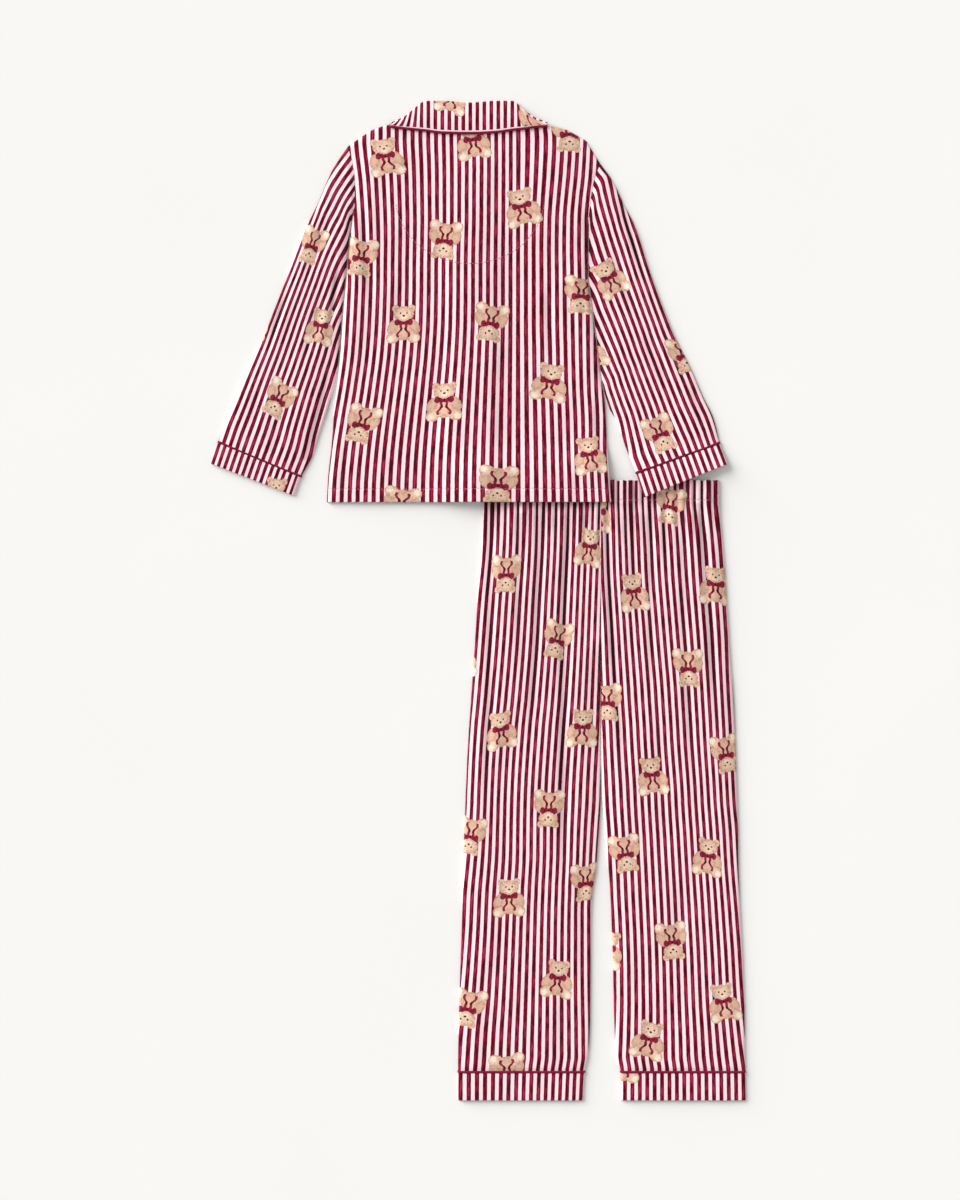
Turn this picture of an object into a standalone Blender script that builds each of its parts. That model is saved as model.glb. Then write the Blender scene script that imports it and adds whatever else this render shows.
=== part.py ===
"""A child's pyjama set lying flat with its backs up: a collared top over the waist of its trousers.

Lengths are millimetres until a mesh is made. Each garment has its own plan frame: x runs to the right
from its centre line, drop runs down from its top edge, and both are turned into X and Y at the end.
A flattened garment has a lower layer flat on the floor and an upper layer lying on it, whose sides
turn down round the lower one. Left and right are the viewer's.
"""
import math

import bmesh
import bpy
import numpy as np

MM = 0.001

# Cloth
WALL = 1.2          # one layer of brushed cotton
BAND_WALL = 1.8     # a turned band: two layers pressed together
SEAM = 0.3          # gap between pieces that are sewn together or lie face to face
AIR = 0.7           # gap between the two layers of a flattened garment
EDGE_RADIUS = 3.2   # how far in from its side an upper layer starts to turn down
FRONT_INSET = 2.9   # how far a lower panel stays inside the side of the upper one
SLIT = 1.0          # gap between the top's side and the sleeve that lies along it
PIPING = 2.4        # width of a piped seam
PIPING_CROWN = 1.7  # height of the cord's crown above the least height of a flattened tube
PIPING_FOOT = 0.7   # height of its two sides

# Where each garment's plan frame lies
TOP_X, TOP_Y = -9.65, 600.45
TROUSERS_X, TROUSERS_Y = 147.15, 143.85

# Top
HEM_DROP = 482.0
UNDERARM = 0.82     # share of the way up from the hem to the shoulder where the armhole starts
ARMHOLE_BLEND = 0.055
PLACKET = 12.0      # half width of the button stand, where the two fronts lap
BUTTON_RADIUS, BUTTON_HEIGHT, BUTTON_COUNT = 5.5, 1.8, 5
BUTTON_DROP, BUTTON_PITCH = 112.0, 70.0
LAP_RISE = WALL + 0.5                # height of what lies on the lapped front
COLLAR_PLY, COLLAR_STAND = 1.8, 26.0
COLLAR_SAG = 2.7                     # how far the collar's fold droops below its neck seam
COLLAR_SETTLE, COLLAR_EASE = 0.3, 8.0     # how far the fall sinks past the neck seam, and over what length
COLLAR_EDGE_LIFT = 0.2               # the piping's axis above the middle of the fall's edge
BUTTON_BEVEL = 0.4
CUFF_DEPTH = 27.0
SLEEVE_LOFT, CUFF_LOFT = 0.9, 0.6    # air in the flattened tubes beyond the least

# Trousers
WAIST_DEPTH = 26.5
WAIST_GATHERS, GATHER_RISE = 26, 1.4
CROTCH_DROP = 197.0
LEG_SEAM_DROP, LEG_END_DROP = 710.0, 743.5
BAND_LOFT = 0.5
LEG_CROWN, LEG_TOP_CROWN = 0.4, 0.8  # loft of a leg, and what the waistband adds to it
LEG_GATHER, LEG_GATHER_PITCH, LEG_GATHER_END = 0.7, 24.0, 75.0
LEG_CLEARANCE = 0.05                 # what each leg keeps from the centre seam beyond half the seam's gap
OVER_WAIST = 2 * BAND_WALL + AIR + GATHER_RISE + SEAM   # height of what lies on the waistband

# Where the layers rise and sink, from and to: world X and Y over the waistband, x from the centre of the
# button stand, x and drop round the collar's leaves, x beside the lap, drop below the neck at the lap,
# and drop round the crotch, where the legs part
WAIST_RISE_X, WAIST_SINK_Y = (-47, -2), (150, 195)
STAND_SINK, LEAF_SINK_X, LEAF_SINK_DROP = (18, 54), (108, 137), (148, 184)
LAP_SINK, LAP_START = (20, 40), (60, 95)
LEGS_PART = (CROTCH_DROP - 5, CROTCH_DROP + 25)

# Left and right side of the top from the shoulder's tip to the hem: drop, x
TOP_LEFT = (
    (55, -147.0), (77, -141.2), (96, -138.6), (125, -138.6), (150, -142.6), (210, -148.6), (245, -152.0),
    (284, -155.3), (330, -158.8), (364, -162.8), (412, -166.5), (455, -171.0), (482, -172.3))
TOP_RIGHT = (
    (76, 156.0), (96, 148.4), (125, 143.7), (150, 141.6), (210, 141.2), (245, 145.6), (284, 150.4),
    (330, 156.2), (364, 161.6), (412, 164.2), (455, 167.0), (482, 169.0))

# Shoulders and neckline of the back: x, drop
SHOULDER_LINE = (
    (-147, 55.0), (-137, 48.0), (-119, 36.0), (-102, 30.0), (-88, 29.0), (88, 29.0),
    (102, 31.5), (117, 36.0), (139, 48.0), (146, 60.0), (156, 76.0))
NECK_HALF_WIDTH, FRONT_NECK_DEPTH = 88.0, 62.0

# Sleeves from the armhole to the cuff seam: outer edge x, outer drop, inner edge drop, and how far the
# inner edge lies out from the top's side
LEFT_SLEEVE = (
    (-166.5, 85, 150, SLIT), (-182.0, 121, 178, SLIT), (-197.0, 152, 205, SLIT),
    (-216.5, 203, 250, SLIT), (-235.0, 250, 300, SLIT), (-249.0, 286, 338, 2.6), (-266.0, 322, 368, 7.5),
    (-282.4, 360, 402, 16.0), (-292.0, 384, 429, 22.5), (-302.9, 410, 451.7, 32.3))
RIGHT_SLEEVE = (
    (170.5, 96, 168, SLIT), (184.0, 124, 190, SLIT), (198.5, 153, 215, SLIT),
    (215.0, 203, 262, SLIT), (233.5, 253, 310, SLIT), (249.0, 290, 345, SLIT), (264.0, 320, 368, 4.5),
    (279.0, 355, 388, 14.5), (292.0, 382, 418, 22.5), (299.4, 411, 447.6, 32.3))
# Ends of the cuffs: outer x, outer drop, inner x, inner drop
LEFT_CUFF_END = (-311.5, 435.6, -211.2, 474.6)
RIGHT_CUFF_END = (308.6, 436.3, 208.2, 476.4)

# Collar: place along it, then x and drop of its fold, of its free edge and of its neck seam
COLLAR = (
    (0.00, -95.2, 27.2, -97.0, 30.8, -90.0, 28.6), (0.10, -79.4, 20.0, -82.0, 32.6, -78.4, 28.6),
    (0.15, -69.6, 12.0, -70.8, 33.8, -69.2, 28.6), (0.22, -54.0, 0.9, -54.4, 35.4, -56.0, 28.6),
    (0.36, -33.0, 0.8, -32.0, 38.0, -33.0, 28.6), (0.50, 0.0, 2.8, 0.0, 38.6, 0.0, 28.6),
    (0.64, 30.0, 0.8, 31.0, 37.2, 31.0, 28.6), (0.78, 50.4, 0.9, 52.4, 34.4, 54.0, 28.6),
    (0.85, 66.8, 13.4, 66.6, 32.9, 66.0, 28.6), (0.90, 76.4, 20.4, 76.4, 31.4, 74.0, 28.6),
    (1.00, 92.0, 26.8, 92.6, 30.2, 87.2, 28.6))
COLLAR_LEAF = ((-87, 34), (-5, 95), (-38, 138), (-92, 64))   # corners of a front leaf: x, drop

# Trousers: drop, outer side of the left leg, outer side of the right leg
LEG_OUTER = (
    (0, -142.8, 142.4), (27, -142.0, 142.8), (71, -142.8, 146.4), (143, -148.0, 151.2),
    (203, -151.8, 155.0), (263, -156.0, 159.4), (335, -160.6, 162.4), (407, -163.5, 164.4),
    (467, -165.6, 165.4), (527, -166.8, 168.0), (575, -168.5, 170.4), (647, -170.6, 172.6),
    (710, -171.6, 173.4), (743.5, -171.6, 174.0))
# Trousers: drop, inner edge of the left leg, inner edge of the right leg
LEG_INNER = (
    (0, 0.0, 0.0), (330, 0.0, 0.0), (379, 0.0, 1.0), (419, -2.0, 4.2), (443, -3.8, 6.6),
    (467, -5.6, 9.0), (490, -9.2, 10.8), (515, -11.2, 12.0), (575, -12.2, 14.2), (647, -12.8, 15.8),
    (690, -15.0, 18.6), (710, -19.2, 23.4), (743.5, -21.0, 23.2))

# Long soft folds: x and drop of one end, x and drop of the other, rise, half width
TOP_FOLDS = (
    (-139, 150, -143, 370, 2.2, 9), (-91, 425, -93, 540, 2.4, 11), (134, 436, 138, 540, 2.6, 12),
    (18, 150, 10, 250, 1.2, 10), (-70, 170, -98, 330, 1.2, 14), (88, 250, 104, 400, 1.2, 14))
SLEEVE_FOLDS = (
    (-236, 240, -250, 300, 2.2, 9), (-178, 130, -214, 300, 1.6, 11), (-252, 330, -262, 420, 1.6, 9),
    (186, 140, 198, 200, 2.2, 9), (196, 180, 226, 330, 1.6, 11), (250, 330, 262, 430, 1.6, 9))
LEG_FOLDS = (
    (-134, -60, -134, 300, 2.8, 8), (-43, 10, -38, 470, 3.0, 9), (14, -60, 36, 320, 3.0, 9),
    (58, -50, 60, 130, 2.2, 8), (133, -40, 134, 350, 2.6, 9), (-92, -40, -96, 170, 1.8, 9),
    (98, -40, 104, 220, 1.6, 9), (-110, 330, -120, 640, 1.4, 12), (70, 300, 92, 620, 1.4, 12))

# How finely the layers are divided
TURN = [math.radians(angle) for angle in (0, 45, 90)]
BACK_COLUMNS, LEG_COLUMNS, LOWER_COLUMNS, CUFF_COLUMNS, BAND_COLUMNS, COLLAR_STEPS = 24, 22, 4, 8, 10, 28
TOP_SHARES_UP = (
    0, 0.03, 0.06, 0.08, 0.10, 0.12, 0.15, 0.19, 0.27, 0.36, 0.45, 0.54, 0.63, 0.71, 0.765, 0.795,
    UNDERARM, 0.85, 0.88, 0.91, 0.94, 0.97)
SLEEVE_STEPS = [0.4, 0.8] + [1.3 + 0.72 * step for step in range(12)]    # in rows of the sleeve's table
HOLE_FADE = 3.0                                                          # likewise
FALL_SHARES, STAND_SHARES, COLLAR_TURN = (1.0, 0.8, 0.55, 0.3), (0.5, 1.0), (0, 45, 90, 135, 180)
FRONT_SHARES = (0, 0.1, 0.25, 0.45, 0.62, 0.72, 0.82, 0.91, 1)
LEG_DROPS = (27, 45, 65, 95, 130, 165, 192, 222, 275, 330, 379, 430, 480, 530, 590, 650, 690)

STRIPED = (0.60, 0.28, 0.36)       # brushed cotton in burgundy and white stripes, seen from afar
BURGUNDY = (0.155, 0.005, 0.025)
PEARL = (0.80, 0.76, 0.70)


def between(start, end, share):
    return start + (end - start) * share


def ramp(low, high, value):
    """Smooth step from 0 at low to 1 at high."""
    share = min(max((value - low) / (high - low), 0.0), 1.0)
    return share * share * (3.0 - 2.0 * share)


def read(rows, column, key):
    """One column of a table, read smoothly and without overshoot at a value of its first column."""
    table = np.array(rows, float)
    keys, values = table[:, 0], table[:, column]
    rates = np.diff(values) / np.diff(keys)
    slopes = np.zeros(len(keys))
    for row in range(1, len(rates)):
        before, after = rates[row - 1], rates[row]
        slopes[row] = 2 * before * after / (before + after) if before * after > 0 else 0.0
    slopes[0], slopes[-1] = rates[0], rates[-1]
    key = min(max(key, keys[0]), keys[-1])
    place = min(int(np.searchsorted(keys, key, side="right")) - 1, len(keys) - 2)
    gap = keys[place + 1] - keys[place]
    t = (key - keys[place]) / gap
    start = (2 * t ** 3 - 3 * t ** 2 + 1) * values[place] + (t ** 3 - 2 * t ** 2 + t) * gap * slopes[place]
    end = (3 * t ** 2 - 2 * t ** 3) * values[place + 1] + (t ** 3 - t ** 2) * gap * slopes[place + 1]
    return float(start + end)


def straight(rows, key):
    """The second column of a table, read along straight lines."""
    return float(np.interp(key, [row[0] for row in rows], [row[1] for row in rows]))


def fold_rise(folds, x, drop):
    """Height of the long soft folds at a point."""
    rise = 0.0
    for x_top, drop_top, x_end, drop_end, height, half_width in folds:
        along = (drop - drop_top) / (drop_end - drop_top)
        if 0.0 < along < 1.0:
            off = (x - between(x_top, x_end, along)) / half_width
            rise += height * math.sin(math.pi * along) * math.exp(-off * off)
    return rise


# ------------------------------------------------------------------------------------ solids
def material(name, colour, roughness):
    shade = bpy.data.materials.new(name)
    shade.use_nodes = True
    shader = shade.node_tree.nodes["Principled BSDF"]
    shader.inputs["Base Color"].default_value = (*colour, 1.0)
    shader.inputs["Roughness"].default_value = roughness
    shader.inputs["Metallic"].default_value = 0.0
    shade.diffuse_color = (*colour, 1.0)
    return shade


def add_object(name, shape, colour, roughness=0.9):
    """Turn a bmesh whose points are in world millimetres into a named object with outward faces."""
    bmesh.ops.scale(shape, vec=(MM, MM, MM), verts=shape.verts)
    bmesh.ops.recalc_face_normals(shape, faces=shape.faces)
    mesh = bpy.data.meshes.new(name)
    shape.to_mesh(mesh)
    shape.free()
    mesh.materials.append(material(name + "_finish", colour, roughness))
    mesh.shade_smooth()
    mesh.set_sharp_from_angle(angle=math.radians(40))
    made = bpy.data.objects.new(name, mesh)
    bpy.context.scene.collection.objects.link(made)
    return made


def wall_solid(name, outer, inner, colour, ring=False):
    """Close the space between two equal grids of points; in a ring the last column meets the first."""
    rows, columns = len(outer), len(outer[0])
    shape = bmesh.new()
    skins = [[[shape.verts.new(point) for point in row] for row in grid] for grid in (outer, inner)]
    steps = columns if ring else columns - 1
    for skin in skins:
        for row in range(rows - 1):
            for column in range(steps):
                after = (column + 1) % columns
                shape.faces.new((skin[row][column], skin[row][after],
                                 skin[row + 1][after], skin[row + 1][column]))
    rims = [[(row, column) for column in range(columns)] + ([(row, 0)] if ring else [])
            for row in (0, rows - 1)]
    if not ring:
        rims += [[(row, column) for row in range(rows)] for column in (0, columns - 1)]
    for rim in rims:
        for (row, column), (next_row, next_column) in zip(rim, rim[1:]):
            shape.faces.new((skins[0][row][column], skins[0][next_row][next_column],
                             skins[1][next_row][next_column], skins[1][row][column]))
    return add_object(name, shape, colour)


def edge_columns(inner_shares):
    """Columns across a layer whose two sides turn down: share, millimetres in, sine and signed cosine."""
    left = [(0.0, EDGE_RADIUS * (1 - math.cos(a)), math.sin(a), math.cos(a)) for a in TURN]
    middle = [(share, 0.0, 1.0, 0.0) for share in inner_shares]
    right = [(1.0, -inward, sine, -cosine) for _, inward, sine, cosine in reversed(left)]
    return left + middle + right


def even_shares(count):
    return [step / count for step in range(1, count)]


def in_top(x, drop, z):
    return (TOP_X + x, TOP_Y - drop, z)


def in_trousers(x, drop, z):
    return (TROUSERS_X + x, TROUSERS_Y - drop, z)


def steepness(loft, x, drop):
    """Length of a slanted step for each level one, so that a slanted wall keeps its thickness."""
    slope = (loft(x + 1.5, drop) - loft(x - 1.5, drop)) / 3.0
    return math.hypot(1.0, slope)


def upper_panel(name, place, plan, rows, columns, ground, loft, side_turn, end_turn):
    """The upper layer of a flattened garment: it lies on the lower one and turns down at its sides."""
    outer, inner = [], []
    for row in rows:
        outer_row, inner_row = [], []
        for column in columns:
            x, drop = plan(column[0], column[1], row[0], row[1])
            side, end = side_turn(column[0], row[0]), end_turn(x, row[0])
            turn = (1 - side * (1 - column[2])) * (1 - end * (1 - row[2]))
            floor, top = ground(x, drop), 2 * WALL + AIR + loft(x, drop)
            inside = top - WALL * steepness(loft, x, drop)
            into = plan(column[0], column[1] + WALL * side * column[3],
                        row[0], row[1] + WALL * end * row[3])
            outer_row.append(place(x, drop, floor + top * turn))
            inner_row.append(place(*into, floor + inside * turn))
        outer.append(outer_row)
        inner.append(inner_row)
    return wall_solid(name, outer, inner, STRIPED)


def lower_panel(name, place, plan, rows, columns, ground, height=WALL):
    """A layer that lies flat on what is below it."""
    bottom = [[plan(column, row) for column in columns] for row in rows]
    under = [[place(x, drop, ground(x, drop)) for x, drop in row] for row in bottom]
    over = [[place(x, drop, ground(x, drop) + height) for x, drop in row] for row in bottom]
    return wall_solid(name, over, under, STRIPED)


def flat_tube(name, place, stations, columns, lower_shares, ground, loft, wall=WALL, colour=STRIPED):
    """A tube pressed flat: each station maps a share and millimetres in to a point across it."""
    outer, inner = [], []
    for across in stations:
        outer_ring, inner_ring = [], []
        for share, inward, sine, cosine in columns:
            x, drop = across(share, inward)
            floor, top = ground(x, drop), 2 * wall + AIR + loft(x, drop)
            inside = top - wall - wall * steepness(loft, x, drop)
            outer_ring.append(place(x, drop, floor + top * sine))
            into = across(share, inward + wall * cosine)
            inner_ring.append(place(*into, floor + wall + inside * sine))
        for share in reversed(lower_shares):
            x, drop = across(share, 0.0)
            outer_ring.append(place(x, drop, ground(x, drop)))
            inner_ring.append(place(x, drop, ground(x, drop) + wall))
        outer.append(outer_ring)
        inner.append(inner_ring)
    return wall_solid(name, outer, inner, colour, ring=True)


def cord(name, path, radius, sides, colour):
    """A round cord along a level open path of world points."""
    points = [np.array(point, float) for point in path]
    shape = bmesh.new()
    rings = []
    for place, point in enumerate(points):
        ahead = points[min(place + 1, len(points) - 1)] - points[max(place - 1, 0)]
        across = np.array((-ahead[1], ahead[0], 0.0)) / math.hypot(ahead[0], ahead[1])
        ring = []
        for side in range(sides):
            angle = 2 * math.pi * side / sides
            ring.append(shape.verts.new(point + radius * (across * math.cos(angle)
                                                          + np.array((0, 0, math.sin(angle))))))
        rings.append(ring)
    for ring, following in zip(rings, rings[1:]):
        for side in range(sides):
            after = (side + 1) % sides
            shape.faces.new((ring[side], ring[after], following[after], following[side]))
    shape.faces.new(rings[0])
    shape.faces.new(rings[-1])
    return add_object(name, shape, colour)


# ------------------------------------------------------------------------------------ what lies under
def over_waist(x, drop):
    """How high the top is lifted where it lies on the trousers' waistband."""
    world_x, world_y = TOP_X + x, TOP_Y - drop
    return OVER_WAIST * ramp(*WAIST_RISE_X, world_x) * (1 - ramp(*WAIST_SINK_Y, world_y))


def over_buttons(x, drop):
    """How high the fronts are lifted by the buttons and the collar's front leaves."""
    stand = 1 - ramp(*STAND_SINK, abs(x))
    neck = (1 - ramp(*LEAF_SINK_X, abs(x))) * (1 - ramp(*LEAF_SINK_DROP, drop))
    return (BUTTON_HEIGHT + SEAM) * (1 - (1 - stand) * (1 - neck))


def under_front(x, drop):
    return over_waist(x, drop) + over_buttons(x, drop)


def under_lap(x, drop):
    """The right front starts on the left one, on the button stand."""
    return under_front(x, drop) + LAP_RISE * (1 - ramp(*LAP_SINK, x))


def under_back(x, drop):
    lap = (1 - ramp(*LAP_SINK, abs(x))) * ramp(*LAP_START, drop)
    return under_front(x, drop) + LAP_RISE * lap


def floor_level(x, drop):
    return 0.0


# ------------------------------------------------------------------------------------ top
def top_side(side, drop):
    """x of the top's left (1) or right (2) side."""
    return read(TOP_LEFT if side == 1 else TOP_RIGHT, 1, drop)


def shoulder_lean(x):
    """How many millimetres of drop make one millimetre square to the shoulder line."""
    x = min(max(x, SHOULDER_LINE[0][0] + 3), SHOULDER_LINE[-1][0] - 3)
    slope = (straight(SHOULDER_LINE, x + 3) - straight(SHOULDER_LINE, x - 3)) / 6
    return math.hypot(1.0, slope)


def back_plan(share, inward, share_up, down):
    """A point of the back: share across it from the left, share up it from the hem."""
    x = between(SHOULDER_LINE[0][0], SHOULDER_LINE[-1][0], share) + inward
    drop = between(HEM_DROP, straight(SHOULDER_LINE, x), share_up) + down * shoulder_lean(x)
    return between(top_side(1, drop), top_side(2, drop), share) + inward, drop


def top_loft(x, drop):
    left, right = top_side(1, drop), top_side(2, drop)
    share = (x - left) / (right - left)
    crown = 4 * share * (1 - share) * ramp(60, 150, drop)
    return max(crown, 0.0) + fold_rise(TOP_FOLDS, x, drop)


def back_side_turn(share, share_up):
    """The back turns down at its sides below the armholes, and is sewn level to the sleeves above."""
    return 1 - ramp(UNDERARM - ARMHOLE_BLEND, UNDERARM, share_up)


def back_end_turn(x, share_up):
    """The back turns down along its shoulders, and not at its neck or hem."""
    return ramp(NECK_HALF_WIDTH, NECK_HALF_WIDTH + 12, abs(x)) if share_up > UNDERARM else 0.0


def top_rows():
    """Rows up the back: share up, millimetres down, sine and cosine of the turn at the shoulder."""
    rows = [(share, 0.0, 1.0, 0.0) for share in TOP_SHARES_UP]
    return rows + [(1.0, EDGE_RADIUS * (1 - math.cos(a)), math.sin(a), math.cos(a)) for a in reversed(TURN)]


def make_back():
    upper_panel("top_back", in_top, back_plan, top_rows(), edge_columns(even_shares(BACK_COLUMNS)),
                under_back, top_loft, back_side_turn, back_end_turn)


def front_shoulder(x):
    """Drop of the fronts' upper edge: the chords between the back's columns, and a scoop at the neck."""
    columns = edge_columns(even_shares(BACK_COLUMNS))
    places = [between(SHOULDER_LINE[0][0], SHOULDER_LINE[-1][0], column[0]) + column[1] for column in columns]
    chord = straight([(place, straight(SHOULDER_LINE, place)) for place in places], x)
    scoop = max(0.0, 1 - (x / NECK_HALF_WIDTH) ** 2)
    return chord + FRONT_NECK_DEPTH * scoop


def make_fronts():
    """Two fronts that lap at the centre; each keeps inside the back's turned sides."""
    def plan(side, share, row):
        share_up, down = row
        tip = SHOULDER_LINE[0][0] if side == 1 else SHOULDER_LINE[-1][0]
        lap = PLACKET if side == 1 else -PLACKET
        x = between(tip, lap, share)
        drop = between(HEM_DROP, front_shoulder(x), share_up) + down * shoulder_lean(x)
        inset = FRONT_INSET * back_side_turn(0, share_up)
        edge = top_side(side, drop) + (inset if side == 1 else -inset)
        return between(edge, lap, share), drop

    rows = [(share_up, 0.0) for share_up in TOP_SHARES_UP] + [(1.0, FRONT_INSET)]
    lower_panel("top_front_left", in_top, lambda share, row: plan(1, share, row), rows, FRONT_SHARES,
                under_front)
    lower_panel("top_front_right", in_top, lambda share, row: plan(2, share, row), rows, FRONT_SHARES,
                under_lap)


def armhole(side):
    """Points of the top's side from the shoulder's tip to the underarm, one for each row of the back."""
    share = 0.0 if side == 1 else 1.0
    rows = [row for row in top_rows() if row[0] >= UNDERARM]
    return [back_plan(share, 0.0, row[0], row[1]) for row in reversed(rows)]


def along(points, distance):
    """The point at a distance along straight lines between points, and past their ends."""
    points = np.array(points, float)
    lengths = np.concatenate(([0.0], np.cumsum(np.hypot(*np.diff(points, axis=0).T))))
    return [float(np.interp(distance, lengths, points[:, axis])) for axis in (0, 1)]


def path_length(points):
    return sum(math.dist(a, b) for a, b in zip(points, points[1:]))


def line_across(outer, inner):
    """A straight station of a tube from its outer edge to its inner edge."""
    length = math.dist(outer, inner)

    def point(share, inward):
        place = share + inward / length
        return between(outer[0], inner[0], place), between(outer[1], inner[1], place)
    return point


def sleeve_stations(side, table):
    """Stations from the armhole, whose curve fades out over the first third of the sleeve."""
    out = -1 if side == 1 else 1
    hole = armhole(side)
    hole_length = path_length(hole)
    chord = line_across(hole[0], hole[-1])

    def first(share, inward):
        x, drop = along(hole, share * hole_length + inward)
        return x + out * SEAM, drop

    keyed = [(0.0, hole[0][0], hole[0][1], hole[-1][1], SLIT)]
    keyed += [(float(place + 1),) + row for place, row in enumerate(table)]
    stations = [first]
    for step in SLEEVE_STEPS + [len(table)]:
        outer = (read(keyed, 1, step), read(keyed, 2, step))
        inner_drop = read(keyed, 3, step)
        inner = (top_side(side, inner_drop) + out * read(keyed, 4, step), inner_drop)
        line = line_across(outer, inner)
        fade = 1 - ramp(0.0, HOLE_FADE, step)

        def station(share, inward, line=line, fade=fade):
            (x, drop), (x_0, drop_0), (x_1, drop_1) = (
                line(share, inward), chord(share, inward), first(share, inward))
            return x + fade * (x_1 - x_0 - out * SEAM), drop + fade * (drop_1 - drop_0)
        stations.append(station)
    return stations


def sleeve_loft(x, drop):
    return SLEEVE_LOFT + fold_rise(SLEEVE_FOLDS, x, drop)


def make_sleeve(side, name, table, cuff_end):
    """A sleeve, the piping at its end and its cuff."""
    hole = armhole(side)
    hole_length = path_length(hole)
    shares = [path_length(hole[:place + 1]) / hole_length for place in range(len(TURN), len(hole) - 1)]
    columns = edge_columns(shares)
    outer = (table[-1][0], table[-1][1])
    out = -1 if side == 1 else 1
    inner = (top_side(side, table[-1][2]) + out * table[-1][3], table[-1][2])
    ends = (cuff_end[0], cuff_end[1]), (cuff_end[2], cuff_end[3])

    def crossing(distance):
        share = distance / CUFF_DEPTH
        return line_across([between(a, b, share) for a, b in zip(outer, ends[0])],
                           [between(a, b, share) for a, b in zip(inner, ends[1])])

    half = PIPING / 2
    stations = sleeve_stations(side, table)
    stations[-1] = crossing(-half - SEAM)
    lower = even_shares(CUFF_COLUMNS)
    flat_tube("sleeve_" + name, in_top, stations, columns, lower, over_waist, sleeve_loft)
    band = edge_columns(lower)
    flat_tube("cuff_" + name, in_top, [crossing(d) for d in (half + SEAM, CUFF_DEPTH / 2, CUFF_DEPTH)],
              band, lower, over_waist, lambda x, drop: CUFF_LOFT)
    piped_seam("cuff_piping_" + name, in_top, crossing, band, lower, over_waist)


def piped_seam(name, place, crossing, columns, lower, ground):
    """A cord in a seam round a flattened tube, standing a little proud of the cloth on both sides."""
    half = PIPING / 2
    outer, inner = [], []
    for distance, proud in ((-half, PIPING_FOOT), (0.0, PIPING_CROWN), (half, PIPING_FOOT)):
        across = crossing(distance)
        outer_ring, inner_ring = [], []
        for share, inward, sine, cosine in columns:
            x, drop = across(share, inward)
            floor, top = ground(x, drop), 2 * WALL + AIR + proud
            outer_ring.append(place(x, drop, floor + top * sine))
            into = across(share, inward + WALL * cosine)
            inner_ring.append(place(*into, floor + WALL + (AIR + PIPING_FOOT / 2) * sine))
        for share in reversed(lower):
            x, drop = across(share, 0.0)
            outer_ring.append(place(x, drop, ground(x, drop)))
            inner_ring.append(place(x, drop, ground(x, drop) + WALL))
        outer.append(outer_ring)
        inner.append(inner_ring)
    return wall_solid(name, outer, inner, BURGUNDY, ring=True)


def make_collar():
    """The back of the collar: a stand sewn to the neck, folded over at the top into the fall."""
    turn = [math.radians(angle) for angle in COLLAR_TURN]
    fold_radius = COLLAR_PLY + SEAM / 2
    seam_level = (BUTTON_HEIGHT + SEAM) + WALL + AIR + fold_radius
    outer, inner, edge = [], [], []
    for step in range(COLLAR_STEPS + 1):
        place = step / COLLAR_STEPS
        fold, free, neck = (np.array([read(COLLAR, column + axis, place) for axis in (0, 1)])
                            for column in (1, 3, 5))
        fall, stand = np.linalg.norm(free - fold), np.linalg.norm(neck - fold)
        fall_way, stand_way = (free - fold) / fall, (neck - fold) / stand
        sag = COLLAR_SAG * min(1.0, stand / COLLAR_STAND)

        def level(distance):
            droop = sag * (1 - ramp(0, stand, distance))
            return seam_level - droop - COLLAR_SETTLE * ramp(stand, stand + COLLAR_EASE, distance)

        outer_row, inner_row = [], []
        for share in FALL_SHARES:
            distance = between(fold_radius, fall, share)
            x, drop = fold + fall_way * distance
            outer_row.append(in_top(x, drop, level(distance) + fold_radius))
            inner_row.append(in_top(x, drop, level(distance) + SEAM / 2))
        for angle in turn:
            for row, radius in ((outer_row, fold_radius), (inner_row, SEAM / 2)):
                x, drop = fold + (fall_way + stand_way) / 2 * (fold_radius - radius * math.sin(angle))
                row.append(in_top(x, drop, level(fold_radius) + radius * math.cos(angle)))
        for share in STAND_SHARES:
            distance = between(fold_radius, stand, share)
            x, drop = fold + stand_way * distance
            outer_row.append(in_top(x, drop, level(distance) - fold_radius))
            inner_row.append(in_top(x, drop, level(distance) - SEAM / 2))
        outer.append(outer_row)
        inner.append(inner_row)
        out = free + fall_way * (SEAM + PIPING / 2)
        edge.append(in_top(out[0], out[1], level(fall) + SEAM / 2 + COLLAR_PLY / 2 + COLLAR_EDGE_LIFT))
    wall_solid("collar_back", outer, inner, STRIPED)
    cord("collar_piping", edge, PIPING / 2, 6, BURGUNDY)


def make_collar_leaves():
    """The collar's two front leaves, face down on the floor under the fronts."""
    for name, mirror in (("left", 1), ("right", -1)):
        a, b, c, d = [(mirror * x, drop) for x, drop in COLLAR_LEAF]

        def plan(share, share_up, corners=(a, b, c, d)):
            a, b, c, d = corners
            return tuple(between(between(a[axis], b[axis], share), between(d[axis], c[axis], share), share_up)
                         for axis in (0, 1))
        lower_panel("collar_front_" + name, in_top, plan, (0, 0.5, 1), (0, 0.33, 0.67, 1), floor_level,
                    COLLAR_PLY)


def make_buttons():
    for number in range(BUTTON_COUNT):
        shape = bmesh.new()
        bmesh.ops.create_cone(shape, cap_ends=True, segments=12, radius1=BUTTON_RADIUS,
                              radius2=BUTTON_RADIUS, depth=BUTTON_HEIGHT)
        rims = [edge for edge in shape.edges if abs(edge.verts[0].co.z - edge.verts[1].co.z) < 0.01]
        bmesh.ops.bevel(shape, geom=rims, offset=BUTTON_BEVEL, segments=1, affect="EDGES")
        centre = in_top(0.0, BUTTON_DROP + BUTTON_PITCH * number, BUTTON_HEIGHT / 2)
        bmesh.ops.translate(shape, vec=centre, verts=shape.verts)
        add_object("button_%d" % (number + 1), shape, PEARL, 0.35)


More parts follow.
